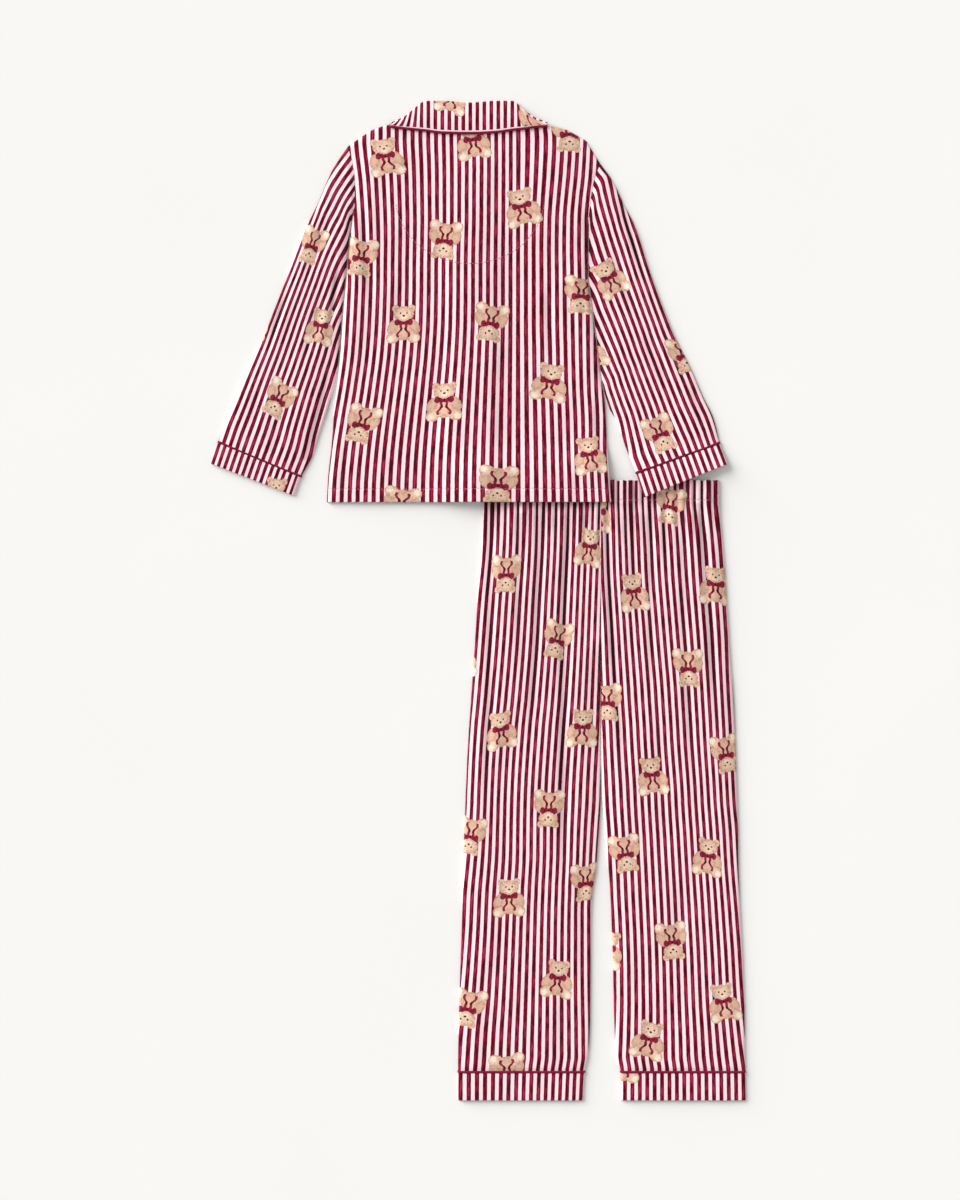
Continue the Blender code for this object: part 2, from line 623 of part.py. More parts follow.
# ------------------------------------------------------------------------------------ trousers
def leg_plan(side):
    """Points of the left (1) or right (2) leg, from its left edge to its right edge."""
    def point(share, inward, share_up, down):
        drop = share_up + down
        outer, inner = read(LEG_OUTER, side, drop), read(LEG_INNER, side, drop)
        gap = SEAM / 2 + LEG_CLEARANCE
        if side == 1:
            return between(outer, inner - gap, share) + inward, drop
        return between(inner + gap, outer, share) + inward, drop
    return point


def leg_loft(x, drop):
    """Gathers below the waistband, a low crown, and the long folds."""
    below = 1 - ramp(WAIST_DEPTH, LEG_GATHER_END, drop)
    gathers = LEG_GATHER * below * (1 - math.cos(2 * math.pi * x / LEG_GATHER_PITCH))
    return LEG_CROWN + LEG_TOP_CROWN * below + gathers + fold_rise(LEG_FOLDS, x, drop)


def leg_side_turn(side):
    """Only the outer edge turns down above the crotch; below it the inner edge does too."""
    def turn(share, drop):
        outer_edge = (share < 0.5) == (side == 1)
        return 1.0 if outer_edge else ramp(*LEGS_PART, drop)
    return turn


def make_leg(side, name):
    plan, side_turn = leg_plan(side), leg_side_turn(side)
    last = LEG_SEAM_DROP - PIPING / 2 - SEAM
    rows = [(drop, 0.0, 1.0, 0.0) for drop in LEG_DROPS + (last,)]
    upper_panel("leg_%s_back" % name, in_trousers, plan, rows, edge_columns(even_shares(LEG_COLUMNS)),
                floor_level, leg_loft, side_turn, lambda x, drop: 0.0)

    def lower_plan(share, drop):
        left = FRONT_INSET * side_turn(0.0, drop)
        right = FRONT_INSET * side_turn(1.0, drop)
        return plan(share, between(left, -right, share), drop, 0.0)

    shares = [0.0] + even_shares(LOWER_COLUMNS) + [1.0]
    lower_panel("leg_%s_front" % name, in_trousers, lower_plan, LEG_DROPS + (last,), shares, floor_level)

    def crossing(drop):
        return lambda share, inward: plan(share, inward, drop, 0.0)

    columns, lower = edge_columns(even_shares(BAND_COLUMNS)), even_shares(LOWER_COLUMNS)
    half = PIPING / 2
    drops = (LEG_SEAM_DROP + half + SEAM, between(LEG_SEAM_DROP, LEG_END_DROP, 0.5), LEG_END_DROP)
    flat_tube("hem_band_" + name, in_trousers, [crossing(drop) for drop in drops], columns, lower,
              floor_level, lambda x, drop: BAND_LOFT)
    piped_seam("hem_piping_" + name, in_trousers, lambda d: crossing(LEG_SEAM_DROP + d), columns, lower,
               floor_level)


def make_waistband():
    """A casing with elastic in it: a flattened ring, gathered on its upper side."""
    def crossing(drop):
        left, right = read(LEG_OUTER, 1, drop), read(LEG_OUTER, 2, drop)
        return lambda share, inward: (between(left, right, share) + inward, drop)

    left, right = read(LEG_OUTER, 1, 0), read(LEG_OUTER, 2, 0)

    def gathers(x, drop):
        share = (x - left) / (right - left)
        return GATHER_RISE / 2 * (1 - math.cos(2 * math.pi * WAIST_GATHERS * share))

    stations = [crossing(drop) for drop in (0, WAIST_DEPTH / 2, WAIST_DEPTH)]
    columns = edge_columns([step / (4 * WAIST_GATHERS) for step in range(2, 4 * WAIST_GATHERS - 1)])
    flat_tube("waistband", in_trousers, stations, columns, even_shares(8), floor_level, gathers, BAND_WALL)


def main():
    for item in list(bpy.data.objects):
        bpy.data.objects.remove(item, do_unlink=True)
    make_back()
    make_fronts()
    make_sleeve(1, "left", LEFT_SLEEVE, LEFT_CUFF_END)
    make_sleeve(2, "right", RIGHT_SLEEVE, RIGHT_CUFF_END)
    make_collar()
    make_collar_leaves()
    make_buttons()
    make_waistband()
    make_leg(1, "left")
    make_leg(2, "right")


main()
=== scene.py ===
# %% [markdown]
# # A child's pyjama set, laid flat with its backs up
#
# The set is two garments: a collared top, whose back is up and whose collar is folded over onto it, and
# a pair of trousers whose waist lies partly under the top's hem. Both are brushed cotton with a burgundy
# and white candy stripe and a small teddy bear repeat. Dark burgundy piping edges the collar and runs in
# the seams of the cuffs and of the trousers' hem bands.
#
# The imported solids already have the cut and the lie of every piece. Here each one gets a finer shell
# of cloth on the same form, with the creases that a folded garment keeps, and then its finish.

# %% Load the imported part
import math

import bmesh
import bpy
import numpy as np
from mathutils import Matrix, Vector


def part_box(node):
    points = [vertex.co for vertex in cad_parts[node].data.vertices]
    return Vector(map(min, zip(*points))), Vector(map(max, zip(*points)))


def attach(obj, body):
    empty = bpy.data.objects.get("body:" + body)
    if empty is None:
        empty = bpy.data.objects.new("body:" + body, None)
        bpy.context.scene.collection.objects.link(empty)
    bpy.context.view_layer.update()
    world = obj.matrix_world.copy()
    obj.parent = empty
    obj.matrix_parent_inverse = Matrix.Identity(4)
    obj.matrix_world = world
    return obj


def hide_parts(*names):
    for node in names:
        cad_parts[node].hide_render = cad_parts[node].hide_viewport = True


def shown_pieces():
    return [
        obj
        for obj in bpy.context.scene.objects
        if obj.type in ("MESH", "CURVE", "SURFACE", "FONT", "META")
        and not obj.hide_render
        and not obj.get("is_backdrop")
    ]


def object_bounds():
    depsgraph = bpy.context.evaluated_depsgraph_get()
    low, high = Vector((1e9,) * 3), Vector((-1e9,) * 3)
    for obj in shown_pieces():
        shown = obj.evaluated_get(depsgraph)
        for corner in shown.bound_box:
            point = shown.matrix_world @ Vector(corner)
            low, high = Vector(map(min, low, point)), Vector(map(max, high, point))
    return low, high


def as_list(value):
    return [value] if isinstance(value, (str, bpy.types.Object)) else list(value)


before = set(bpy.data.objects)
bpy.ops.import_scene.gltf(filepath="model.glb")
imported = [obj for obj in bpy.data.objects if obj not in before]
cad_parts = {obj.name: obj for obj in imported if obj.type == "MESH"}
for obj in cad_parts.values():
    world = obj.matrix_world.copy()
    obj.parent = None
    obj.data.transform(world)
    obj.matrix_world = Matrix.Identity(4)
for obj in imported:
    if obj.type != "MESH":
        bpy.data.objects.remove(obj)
cad_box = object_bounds()
print("solids:", len(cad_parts), "box in metres:", [tuple(corner) for corner in cad_box])

# %% [markdown]
# ## The cut
#
# A pattern maker works from a few widths at a few heights. Each garment has a plan frame in
# millimetres: x runs to the right from its centre line and drop runs down from its top edge. The tables
# below are the cutting lines in that frame, and they are the ones that the solids were made from, so a
# shell made from them lies where its solid lies. Left and right are the viewer's.

# %% Cloth thickness and the places of the two garments
MM = 0.001
WALL = 1.2            # one layer of brushed cotton
BAND_WALL = 1.8       # a turned band, two layers pressed together
SEAM, AIR = 0.3, 0.7  # gap at a seam, and least gap between the two layers of a garment
EDGE_RADIUS = 3.2     # how far in from its side an upper layer starts to turn down
FRONT_INSET = 2.9     # how far in from the back's sides the fronts end
SLIT = 1.0            # least gap between the top's side and a sleeve that lies beside it
PIPING = 2.4          # width that the cord takes in a seam
CLOTH_PITCH = 9.4     # one burgundy and one white stripe together, on the uncut cloth
# where the plan frame of each garment starts on the table, x and y
TOP = (-9.65, 600.45)
TROUSERS = (147.15, 143.85)

# %% Cutting lines of the top
HEM_DROP = 482.0                        # drop of the hem
UNDERARM, ARMHOLE_BLEND = 0.82, 0.055   # share of the way up at which the armhole starts, and its ease
PLACKET = 12.0                          # how far each front laps over the centre
NECK_HALF_WIDTH, FRONT_NECK_DEPTH = 88.0, 62.0
# drop, x of the side
TOP_LEFT = (
    (55, -147.0), (77, -141.2), (96, -138.6), (125, -138.6), (150, -142.6), (210, -148.6), (245, -152.0),
    (284, -155.3), (330, -158.8), (364, -162.8), (412, -166.5), (455, -171.0), (482, -172.3))
TOP_RIGHT = (
    (76, 156.0), (96, 148.4), (125, 143.7), (150, 141.6), (210, 141.2), (245, 145.6), (284, 150.4),
    (330, 156.2), (364, 161.6), (412, 164.2), (455, 167.0), (482, 169.0))
# x, drop of the shoulders and the back neck
SHOULDER_LINE = (
    (-147, 55.0), (-137, 48.0), (-119, 36.0), (-102, 30.0), (-88, 29.0), (88, 29.0),
    (102, 31.5), (117, 36.0), (139, 48.0), (146, 60.0), (156, 76.0))
# outer edge x, outer drop, inner edge drop, how far the inner edge lies out from the top's side
LEFT_SLEEVE = (
    (-166.5, 85, 150, SLIT), (-182.0, 121, 178, SLIT), (-197.0, 152, 205, SLIT),
    (-216.5, 203, 250, SLIT), (-235.0, 250, 300, SLIT), (-249.0, 286, 338, 2.6), (-266.0, 322, 368, 7.5),
    (-282.4, 360, 402, 16.0), (-292.0, 384, 429, 22.5), (-302.9, 410, 451.7, 32.3))
RIGHT_SLEEVE = (
    (170.5, 96, 168, SLIT), (184.0, 124, 190, SLIT), (198.5, 153, 215, SLIT),
    (215.0, 203, 262, SLIT), (233.5, 253, 310, SLIT), (249.0, 290, 345, SLIT), (264.0, 320, 368, 4.5),
    (279.0, 355, 388, 14.5), (292.0, 382, 418, 22.5), (299.4, 411, 447.6, 32.3))
# outer x, outer drop, inner x, inner drop of the cuffs' ends
LEFT_CUFF_END = (-311.5, 435.6, -211.2, 474.6)
RIGHT_CUFF_END = (308.6, 436.3, 208.2, 476.4)
CUFF_DEPTH = 27.0
# place along the collar, then x and drop of its fold, of its free edge and of its neck seam
COLLAR = (
    (0.00, -95.2, 27.2, -97.0, 30.8, -90.0, 28.6), (0.10, -79.4, 20.0, -82.0, 32.6, -78.4, 28.6),
    (0.15, -69.6, 12.0, -70.8, 33.8, -69.2, 28.6), (0.22, -54.0, 0.9, -54.4, 35.4, -56.0, 28.6),
    (0.36, -33.0, 0.8, -32.0, 38.0, -33.0, 28.6), (0.50, 0.0, 2.8, 0.0, 38.6, 0.0, 28.6),
    (0.64, 30.0, 0.8, 31.0, 37.2, 31.0, 28.6), (0.78, 50.4, 0.9, 52.4, 34.4, 54.0, 28.6),
    (0.85, 66.8, 13.4, 66.6, 32.9, 66.0, 28.6), (0.90, 76.4, 20.4, 76.4, 31.4, 74.0, 28.6),
    (1.00, 92.0, 26.8, 92.6, 30.2, 87.2, 28.6))
COLLAR_PLY, COLLAR_STAND = 1.8, 26.0          # thickness of a leaf, and height of the stand
COLLAR_SAG, COLLAR_SETTLE = 2.7, 0.3          # how far the fold drops, and the fall beyond the stand
COLLAR_EASE, COLLAR_EDGE_LIFT = 8.0, 0.2      # over what length it settles, and how high its cord sits
COLLAR_LEAF = ((-87, 34), (-5, 95), (-38, 138), (-92, 64))   # corners of a front leaf: x, drop

# %% Cutting lines of the trousers
WAIST_DEPTH, WAIST_GATHERS, GATHER_RISE = 26.5, 26, 1.4   # depth, folds across it, height of a fold
CROTCH_DROP, LEG_SEAM_DROP, LEG_END_DROP = 197.0, 710.0, 743.5
LEG_CLEARANCE = 0.05  # what the two legs keep between them beyond their seam's gap
OVER_WAIST = 2 * BAND_WALL + AIR + GATHER_RISE + SEAM   # height of what lies on the waistband
# drop, outer side of the left leg, outer side of the right leg
LEG_OUTER = (
    (0, -142.8, 142.4), (27, -142.0, 142.8), (71, -142.8, 146.4), (143, -148.0, 151.2),
    (203, -151.8, 155.0), (263, -156.0, 159.4), (335, -160.6, 162.4), (407, -163.5, 164.4),
    (467, -165.6, 165.4), (527, -166.8, 168.0), (575, -168.5, 170.4), (647, -170.6, 172.6),
    (710, -171.6, 173.4), (743.5, -171.6, 174.0))
# drop, inner edge of the left leg, inner edge of the right leg
LEG_INNER = (
    (0, 0.0, 0.0), (330, 0.0, 0.0), (379, 0.0, 1.0), (419, -2.0, 4.2), (443, -3.8, 6.6),
    (467, -5.6, 9.0), (490, -9.2, 10.8), (515, -11.2, 12.0), (575, -12.2, 14.2), (647, -12.8, 15.8),
    (690, -15.0, 18.6), (710, -19.2, 23.4), (743.5, -21.0, 23.2))

# %% [markdown]
# ## Reading the cut
#
# Between two rows of a table the cloth runs smoothly and never overshoots, so the tables are read with a
# monotone curve. Everything below works on whole arrays of points, because a shell has thousands.

# %% Reading and blending
def between(start, end, share):
    """The value this share of the way from start to end."""
    return start + (end - start) * share


def ramp(low, high, value):
    """Smooth step from 0 at low to 1 at high."""
    share = np.clip((np.asarray(value, float) - low) / (high - low), 0.0, 1.0)
    return share * share * (3.0 - 2.0 * share)


def read(rows, column, key):
    """One column of a table, read smoothly and without overshoot at values of its first column."""
    table = np.array(rows, float)
    keys, values = table[:, 0], table[:, column]
    rates = np.diff(values) / np.diff(keys)
    slopes = np.concatenate(([rates[0]], np.zeros(len(rates) - 1), [rates[-1]]))
    same_way = rates[:-1] * rates[1:] > 0
    total = np.where(same_way, rates[:-1] + rates[1:], 1.0)
    slopes[1:-1] = np.where(same_way, 2 * rates[:-1] * rates[1:] / total, 0.0)
    key = np.clip(np.asarray(key, float), keys[0], keys[-1])
    place = np.minimum(np.searchsorted(keys, key, side="right") - 1, len(keys) - 2)
    gap = keys[place + 1] - keys[place]
    t = (key - keys[place]) / gap
    start = (2 * t ** 3 - 3 * t ** 2 + 1) * values[place] + (t ** 3 - 2 * t ** 2 + t) * gap * slopes[place]
    end = (3 * t ** 2 - 2 * t ** 3) * values[place + 1] + (t ** 3 - t ** 2) * gap * slopes[place + 1]
    return start + end


def straight(rows, key):
    """The second column of a table, read along straight lines."""
    return np.interp(key, [row[0] for row in rows], [row[1] for row in rows])


def lay(place, x, drop, z):
    """Points of a garment's plan frame as world points in millimetres, one array."""
    return np.stack(np.broadcast_arrays(place[0] + x, place[1] - drop, z), axis=-1)


print("width of the top under the arms, mm:", float(read(TOP_RIGHT, 1, 125) - read(TOP_LEFT, 1, 125)))

# %% [markdown]
# ## Creases
#
# Cotton that has been folded and smoothed out by hand keeps long soft troughs with a low ridge beside
# them. They could be simulated, but a simulation puts them where it likes. So each crease is listed: a
# path of three points, a depth, a half width, the height of the ridge on its right, and how much of its
# depth it has at its head and at its tail. Very low, wide ripples run between them, because no smoothed
# cloth is quite level. The shade in the folds is also painted into the cloth's colour: the back, the
# sleeves, the legs and the waistband carry a second chart that says how deep in a fold each point lies,
# and there the burgundy is painted nearly black and the white a darker rose.

# %% Creases, listed one by one
# head x and drop, middle x and drop, tail x and drop, depth, half width, ridge, share at head, at tail
TOP_CREASES = (
    (-132, 104, -127, 172, -117, 264, 2.0, 5.2, 0.6, 0, 0),
    (-100, 60, -108, 120, -112, 190, 0.9, 9.0, 0.2, 0, 0),
    (-70, 150, -84, 240, -98, 340, 0.9, 9.9, 0.3, 0, 0),
    (-30, 210, -34, 290, -36, 380, 0.5, 10.8, 0.2, 0, 0),
    (22, 120, 16, 190, 14, 270, 0.7, 8.1, 0.2, 0, 0),
    (91, 200, 93, 246, 99, 330, 1.3, 5.6, 0.4, 0, 0),
    (116, 206, 117, 242, 121, 290, 1.2, 4.8, 0.4, 0, 0),
    (127, 150, 127, 186, 129, 216, 0.9, 5.4, 0.4, 0, 0),
    (134, 204, 135.5, 240, 138, 278, 1.4, 4.0, 0.6, 0, 0),
    (151, 352, 152, 384, 154, 420, 1.4, 4.1, 0.6, 0, 0),
    (-95, 418, -93, 446, -93, 482, 0.9, 7.2, 0.3, 0, 1),
    (-20, 440, -18, 460, -18, 482, 0.5, 8.1, 0.2, 0, 1),
    (62, 432, 60, 456, 60, 482, 0.6, 8.1, 0.2, 0, 1),
    (130, 416, 128, 448, 125, 482, 0.9, 7.2, 0.3, 0, 1),
    (-150, 400, -151, 440, -152, 482, 0.8, 5.4, 0.3, 0, 1))
SLEEVE_CREASES = (
    (-218, 222, -232, 266, -243, 304, 2.5, 3.6, 0.9, 0, 0),
    (-157, 190, -163, 238, -172, 290, 2.4, 4.2, 0.8, 0, 0),
    (-164, 306, -179, 366, -197, 432, 2.5, 4.4, 1.0, 0, 1),
    (-168, 130, -184, 180, -206, 236, 1.1, 7.2, 0.5, 0, 0),
    (-176, 228, -186, 270, -206, 330, 1.3, 6.3, 0.6, 0, 0),
    (-250, 330, -258, 366, -268, 404, 1.0, 6.3, 0.4, 0, 0),
    (-214, 352, -230, 392, -238, 424, 0.6, 7.2, 0.3, 0, 1),
    (178, 108, 193, 160, 214, 226, 2.6, 3.5, 0.8, 0, 0),
    (168, 176, 182, 218, 200, 268, 1.4, 5.4, 0.6, 0, 0),
    (206, 268, 222, 310, 244, 360, 1.3, 7.2, 0.6, 0, 0),
    (262, 330, 272, 364, 282, 402, 1.1, 6.3, 0.5, 0, 0),
    (226, 372, 238, 400, 248, 430, 1.0, 7.2, 0.5, 0, 1))
LEG_CREASES = (
    (-132.5, 27, -133, 168, -139, 470, 2.2, 5.4, 0.4, 1, 0),
    (-121, 27, -121, 48, -120, 78, 1.1, 3.9, 0.2, 1, 0),
    (-93, 40, -98, 132, -93, 260, 1.3, 5.6, 0.3, 1, 0),
    (-70, 27, -75, 142, -86, 360, 1.9, 5.6, 0.3, 1, 0),
    (-55, 27, -55, 46, -54, 70, 1.1, 3.9, 0.2, 1, 0),
    (-35, 27, -43.5, 150, -46, 560, 2.5, 5.6, 0.5, 1, 0),
    (-22, 27, -20, 60, -20, 110, 1.1, 4.4, 0.2, 1, 0),
    (6.5, 27, 13, 164, 31, 400, 2.5, 5.4, 0.5, 1, 0),
    (26, 27, 27, 50, 30, 84, 1.1, 3.9, 0.2, 1, 0),
    (36, 27, 41, 108, 49, 190, 1.6, 4.8, 0.3, 1, 0),
    (59, 30, 60, 150, 60, 290, 1.5, 5.2, 0.3, 1, 0),
    (60, 240, 73, 345, 73, 470, 0.8, 5.6, 0.1, 0, 0),
    (76, 27, 77, 62, 81, 116, 1.6, 4.3, 0.3, 1, 0),
    (97, 27, 102, 214, 119, 440, 1.4, 5.4, 0.3, 1, 0),
    (119, 27, 129, 150, 141, 330, 2.3, 5.4, 0.4, 1, 0),
    (150, 180, 158, 270, 162, 420, 1.1, 4.5, 0.2, 0, 0),
    (-110, 360, -118, 470, -124, 620, 0.6, 7.6, 0.1, 0, 0),
    (-26, 420, -24, 520, -28, 640, 0.8, 5.8, 0.1, 0, 0),
    (-44, 560, -46, 630, -48, 708, 0.6, 7.1, 0.1, 0, 1),
    (-140, 600, -142, 650, -142, 708, 0.6, 6.5, 0.1, 0, 1),
    (86, 430, 94, 540, 98, 640, 0.6, 8.0, 0.1, 0, 0),
    (140, 560, 144, 640, 146, 708, 0.6, 6.5, 0.1, 0, 1),
    (52, 590, 56, 650, 58, 708, 0.6, 7.1, 0.1, 0, 1))
HEAD_SHARE, TAIL_SHARE = 0.38, 0.6   # shares of its length where a crease is full, and starts to go
RIDGE_OFF = 1.9                      # half widths from a trough to the ridge beside it
# wave across, wave along, lean, height
RIPPLES = (
    (61.0, 170.0, 0.13, 0.24), (43.0, 260.0, 0.57, 0.18), (97.0, 120.0, 0.31, 0.26),
    (27.0, 90.0, 0.83, 0.08))
FULL_SHADE_FOLD_DEPTH = 2.1    # a fold this deep gets the full painted shade
PAINTED_SHADE_SHIFT = 1.2   # the painted shade is darkest this far left of a trough, on the slope away from the light


def crease_height(creases, x, drop):
    """How far the creases lower or raise the cloth at each point."""
    height = np.zeros(np.broadcast(x, drop).shape)
    for x_0, drop_0, x_1, drop_1, x_2, drop_2, depth, half_width, ridge, head, tail in creases:
        path = ((drop_0, x_0), (drop_1, x_1), (drop_2, x_2))
        along = (drop - drop_0) / (drop_2 - drop_0)
        at_head, at_tail = ramp(0.0, HEAD_SHARE, along), ramp(TAIL_SHARE, 1.0, along)
        shown = between(head, 1.0, at_head) * between(1.0, tail, at_tail)
        shown = np.where((along < 0.0) | (along > 1.0), 0.0, shown)
        off = (x - read(path, 1, drop)) / half_width
        height = height + shown * (ridge * np.exp(-(off - RIDGE_OFF) ** 2) - depth * np.exp(-off ** 2))
    return height


def ripple_height(x, drop):
    """The low waves of smoothed cloth."""
    height = 0.0
    for across, along, lean, rise in RIPPLES:
        height = height + rise * np.sin(2 * math.pi * (x / across + drop / along + lean)
                                        + 1.7 * np.sin(2 * math.pi * drop / (along * 1.9)))
    return height


def mark_painted_fold_shade(piece, place, depth_at):
    """Keep in a second chart how deep in a fold each point lies, from 0 to 1, for the shade painted into the
    dye.
    """
    mesh = piece.data
    points, corners = np.zeros(len(mesh.vertices) * 3), np.zeros(len(mesh.loops), int)
    mesh.vertices.foreach_get("co", points)
    mesh.loops.foreach_get("vertex_index", corners)
    points = points.reshape(-1, 3) / MM
    depth = np.clip(depth_at(points[:, 0] - place[0], place[1] - points[:, 1]) / FULL_SHADE_FOLD_DEPTH, 0.0, 1.0)
    # the second chart, named fold, carries the painted shade of the folds
    chart = mesh.uv_layers.new(name="fold")
    chart.data.foreach_set("uv", np.stack([depth, 0 * depth], -1)[corners].ravel())
    mesh.uv_layers.active = mesh.uv_layers["cloth"]


print("creases placed by hand:", len(TOP_CREASES) + len(SLEEVE_CREASES) + len(LEG_CREASES))

# %% [markdown]
# ## What lies under what
#
# The top's hem and right cuff lie on the trousers' waistband, the two fronts lap over five buttons, and
# the collar's front leaves lie under the fronts. Each of these lifts the cloth above it a little.

# %% Lifts
def over_waist(x, drop):
    """How high the top is lifted where it lies on the trousers' waistband."""
    return OVER_WAIST * ramp(-47, -2, TOP[0] + x) * (1 - ramp(150, 195, TOP[1] - drop))


def under_front(x, drop):
    """The waistband, the buttons along the centre and the collar's leaves lift the fronts."""
    stand = 1 - ramp(18, 54, np.abs(x))
    neck = (1 - ramp(108, 137, np.abs(x))) * (1 - ramp(148, 184, drop))
    return over_waist(x, drop) + BUTTON_ROOM * (1 - (1 - stand) * (1 - neck))


def under_lap(x, drop):
    """The right front starts on the left one, on the button stand."""
    return under_front(x, drop) + LAP_RISE * (1 - ramp(20, 40, x))


def under_back(x, drop):
    """The back lies on both fronts, and so on their lap too, from below the neck."""
    return under_front(x, drop) + LAP_RISE * (1 - ramp(20, 40, np.abs(x))) * ramp(60, 95, drop)


def floor_level(x, drop):
    """The table."""
    return np.zeros(np.broadcast(x, drop).shape)


BUTTON_RADIUS, BUTTON_HEIGHT, BUTTON_COUNT = 5.5, 1.8, 5
BUTTON_DROP, BUTTON_PITCH = 112.0, 70.0   # drop of the first one, and from one to the next
BUTTON_ROOM, LAP_RISE = BUTTON_HEIGHT + SEAM, WALL + 0.5
print("the hem is lifted by up to", round(OVER_WAIST, 2), "mm where it lies on the waistband")

# %% [markdown]
# ## From points to cloth
#
# Every piece is a wall: one grid of points for the face of the cloth, one for its back, and rims that
# close the two. A cut edge that is turned in, such as a hem, has a rounded rim. The cloth's own
# coordinates, in metres from a corner of the uncut cloth, go into the UV map: across the stripes and
# along them. The stripes and the print then bend with the cloth, as they do on the real thing.

# %% Walls of cloth
RIM_TURNS = (35, 70)   # degrees of the two rows that curl round a turned edge
SHARP_ANGLE = math.radians(60)


def rounded_end(outer, inner, cloth, at_end):
    """Add two rows to both grids that curl round the edge of the wall."""
    if not at_end:
        outer, inner, cloth = outer[::-1], inner[::-1], cloth[::-1]
    ahead = outer[-1] - outer[-2]
    ahead = ahead / np.linalg.norm(ahead, axis=-1, keepdims=True)
    middle, half = (outer[-1] + inner[-1]) / 2, (outer[-1] - inner[-1]) / 2
    reach = np.linalg.norm(half, axis=-1, keepdims=True)
    for angle in RIM_TURNS:
        cosine, sine = math.cos(math.radians(angle)), math.sin(math.radians(angle))
        outer = np.concatenate([outer, (middle + half * cosine + ahead * reach * sine)[None]])
        inner = np.concatenate([inner, (middle - half * cosine + ahead * reach * sine)[None]])
        cloth = np.concatenate([cloth, cloth[-1:]])
    if not at_end:
        outer, inner, cloth = outer[::-1], inner[::-1], cloth[::-1]
    return outer, inner, cloth


def wall(name, outer, inner, cloth, ring=False, rounded=()):
    """A closed wall between two grids; in a ring the last column meets the first again."""
    for end in rounded:
        outer, inner, cloth = rounded_end(outer, inner, cloth, end == "last")
    rows, columns = outer.shape[:2]
    point = np.arange(rows * columns).reshape(rows, columns)
    if ring:
        point = np.hstack([point, point[:, :1]])
    spot = np.arange(point.size).reshape(point.shape)

    def quads(grid):
        return np.stack([grid[:-1, :-1], grid[:-1, 1:], grid[1:, 1:], grid[1:, :-1]], -1).reshape(-1, 4)

    faces, spots = [quads(point), quads(point)[:, ::-1] + rows * columns], [quads(spot), quads(spot)[:, ::-1]]
    rims = [(point[row], spot[row]) for row in (0, -1)]
    if not ring:
        rims += [(point[:, column], spot[:, column]) for column in (0, -1)]
    for rim, rim_spot in rims:
        faces.append(np.stack([rim[:-1], rim[1:], rim[1:] + rows * columns, rim[:-1] + rows * columns], -1))
        spots.append(np.stack([rim_spot[:-1], rim_spot[1:], rim_spot[1:], rim_spot[:-1]], -1))
    faces, spots = np.concatenate(faces), np.concatenate(spots)
    mesh = bpy.data.meshes.new(name)
    points = np.concatenate([outer.reshape(-1, 3), inner.reshape(-1, 3)]) * MM
    mesh.from_pydata(points.tolist(), [], faces.tolist())
    chart = mesh.uv_layers.new(name="cloth")
    chart.data.foreach_set("uv", (cloth.reshape(-1, 2)[spots.ravel()] * MM).ravel())
    return outward(mesh)


def outward(mesh):
    """Make an object of a mesh, with its faces pointing out and shaded smooth."""
    shape = bmesh.new()
    shape.from_mesh(mesh)
    bmesh.ops.recalc_face_normals(shape, faces=shape.faces)
    shape.to_mesh(mesh)
    shape.free()
    mesh.shade_smooth()
    mesh.set_sharp_from_angle(angle=SHARP_ANGLE)
    made = bpy.data.objects.new(mesh.name, mesh)
    bpy.context.scene.collection.objects.link(made)
    return made


def cloth_chart(across, along):
    """Cloth coordinates of each point, in millimetres."""
    return np.stack(np.broadcast_arrays(across, along), axis=-1)


def edge_columns(inner_shares, steps=6):
    """Columns across a layer whose sides turn down: share, millimetres in, sine, signed cosine."""
    angles = np.radians(np.linspace(0, 90, steps))
    left = [(0.0, EDGE_RADIUS * (1 - math.cos(a)), math.sin(a), math.cos(a)) for a in angles]
    middle = [(share, 0.0, 1.0, 0.0) for share in inner_shares]
    return left + middle + [(1.0, -inward, sine, -cosine) for _, inward, sine, cosine in reversed(left)]


def fine_shares(width, spacing=2.6):
    """Even shares between the turned sides of a layer."""
    first = (EDGE_RADIUS + spacing) / width
    return np.linspace(first, 1 - first, int(width / spacing) - 3)


def upper_panel(place, plan, rows, columns, ground, height, side_turn, end_turn):
    """Face and back points of a layer that lies on another one and turns down at its sides."""
    share_up, down, row_sine, row_cosine = [np.array(part, float)[:, None] for part in zip(*rows)]
    share, inward, sine, cosine = [np.array(part, float)[None] for part in zip(*columns)]
    x, drop = plan(share, inward, share_up, down)
    side, end = side_turn(share, share_up), end_turn(x, share_up)
    turn = (1 - side * (1 - sine)) * (1 - end * (1 - row_sine))
    floor, top = ground(x, drop), height(x, drop)
    into = plan(share, inward + WALL * side * cosine, share_up, down + WALL * end * row_cosine)
    outer = lay(place, x, drop, floor + top * turn)
    return outer, lay(place, *into, floor + (top - WALL) * turn), *np.broadcast_arrays(x, drop)


def lower_panel(place, plan, rows, columns, ground, thickness=WALL):
    """Face and back points of a layer that lies flat on what is below it."""
    x, drop = plan(np.array(columns, float)[None], np.array(rows, float)[:, None])
    floor = ground(x, drop)
    outer = lay(place, x, drop, floor + thickness)
    return outer, lay(place, x, drop, floor), *np.broadcast_arrays(x, drop)


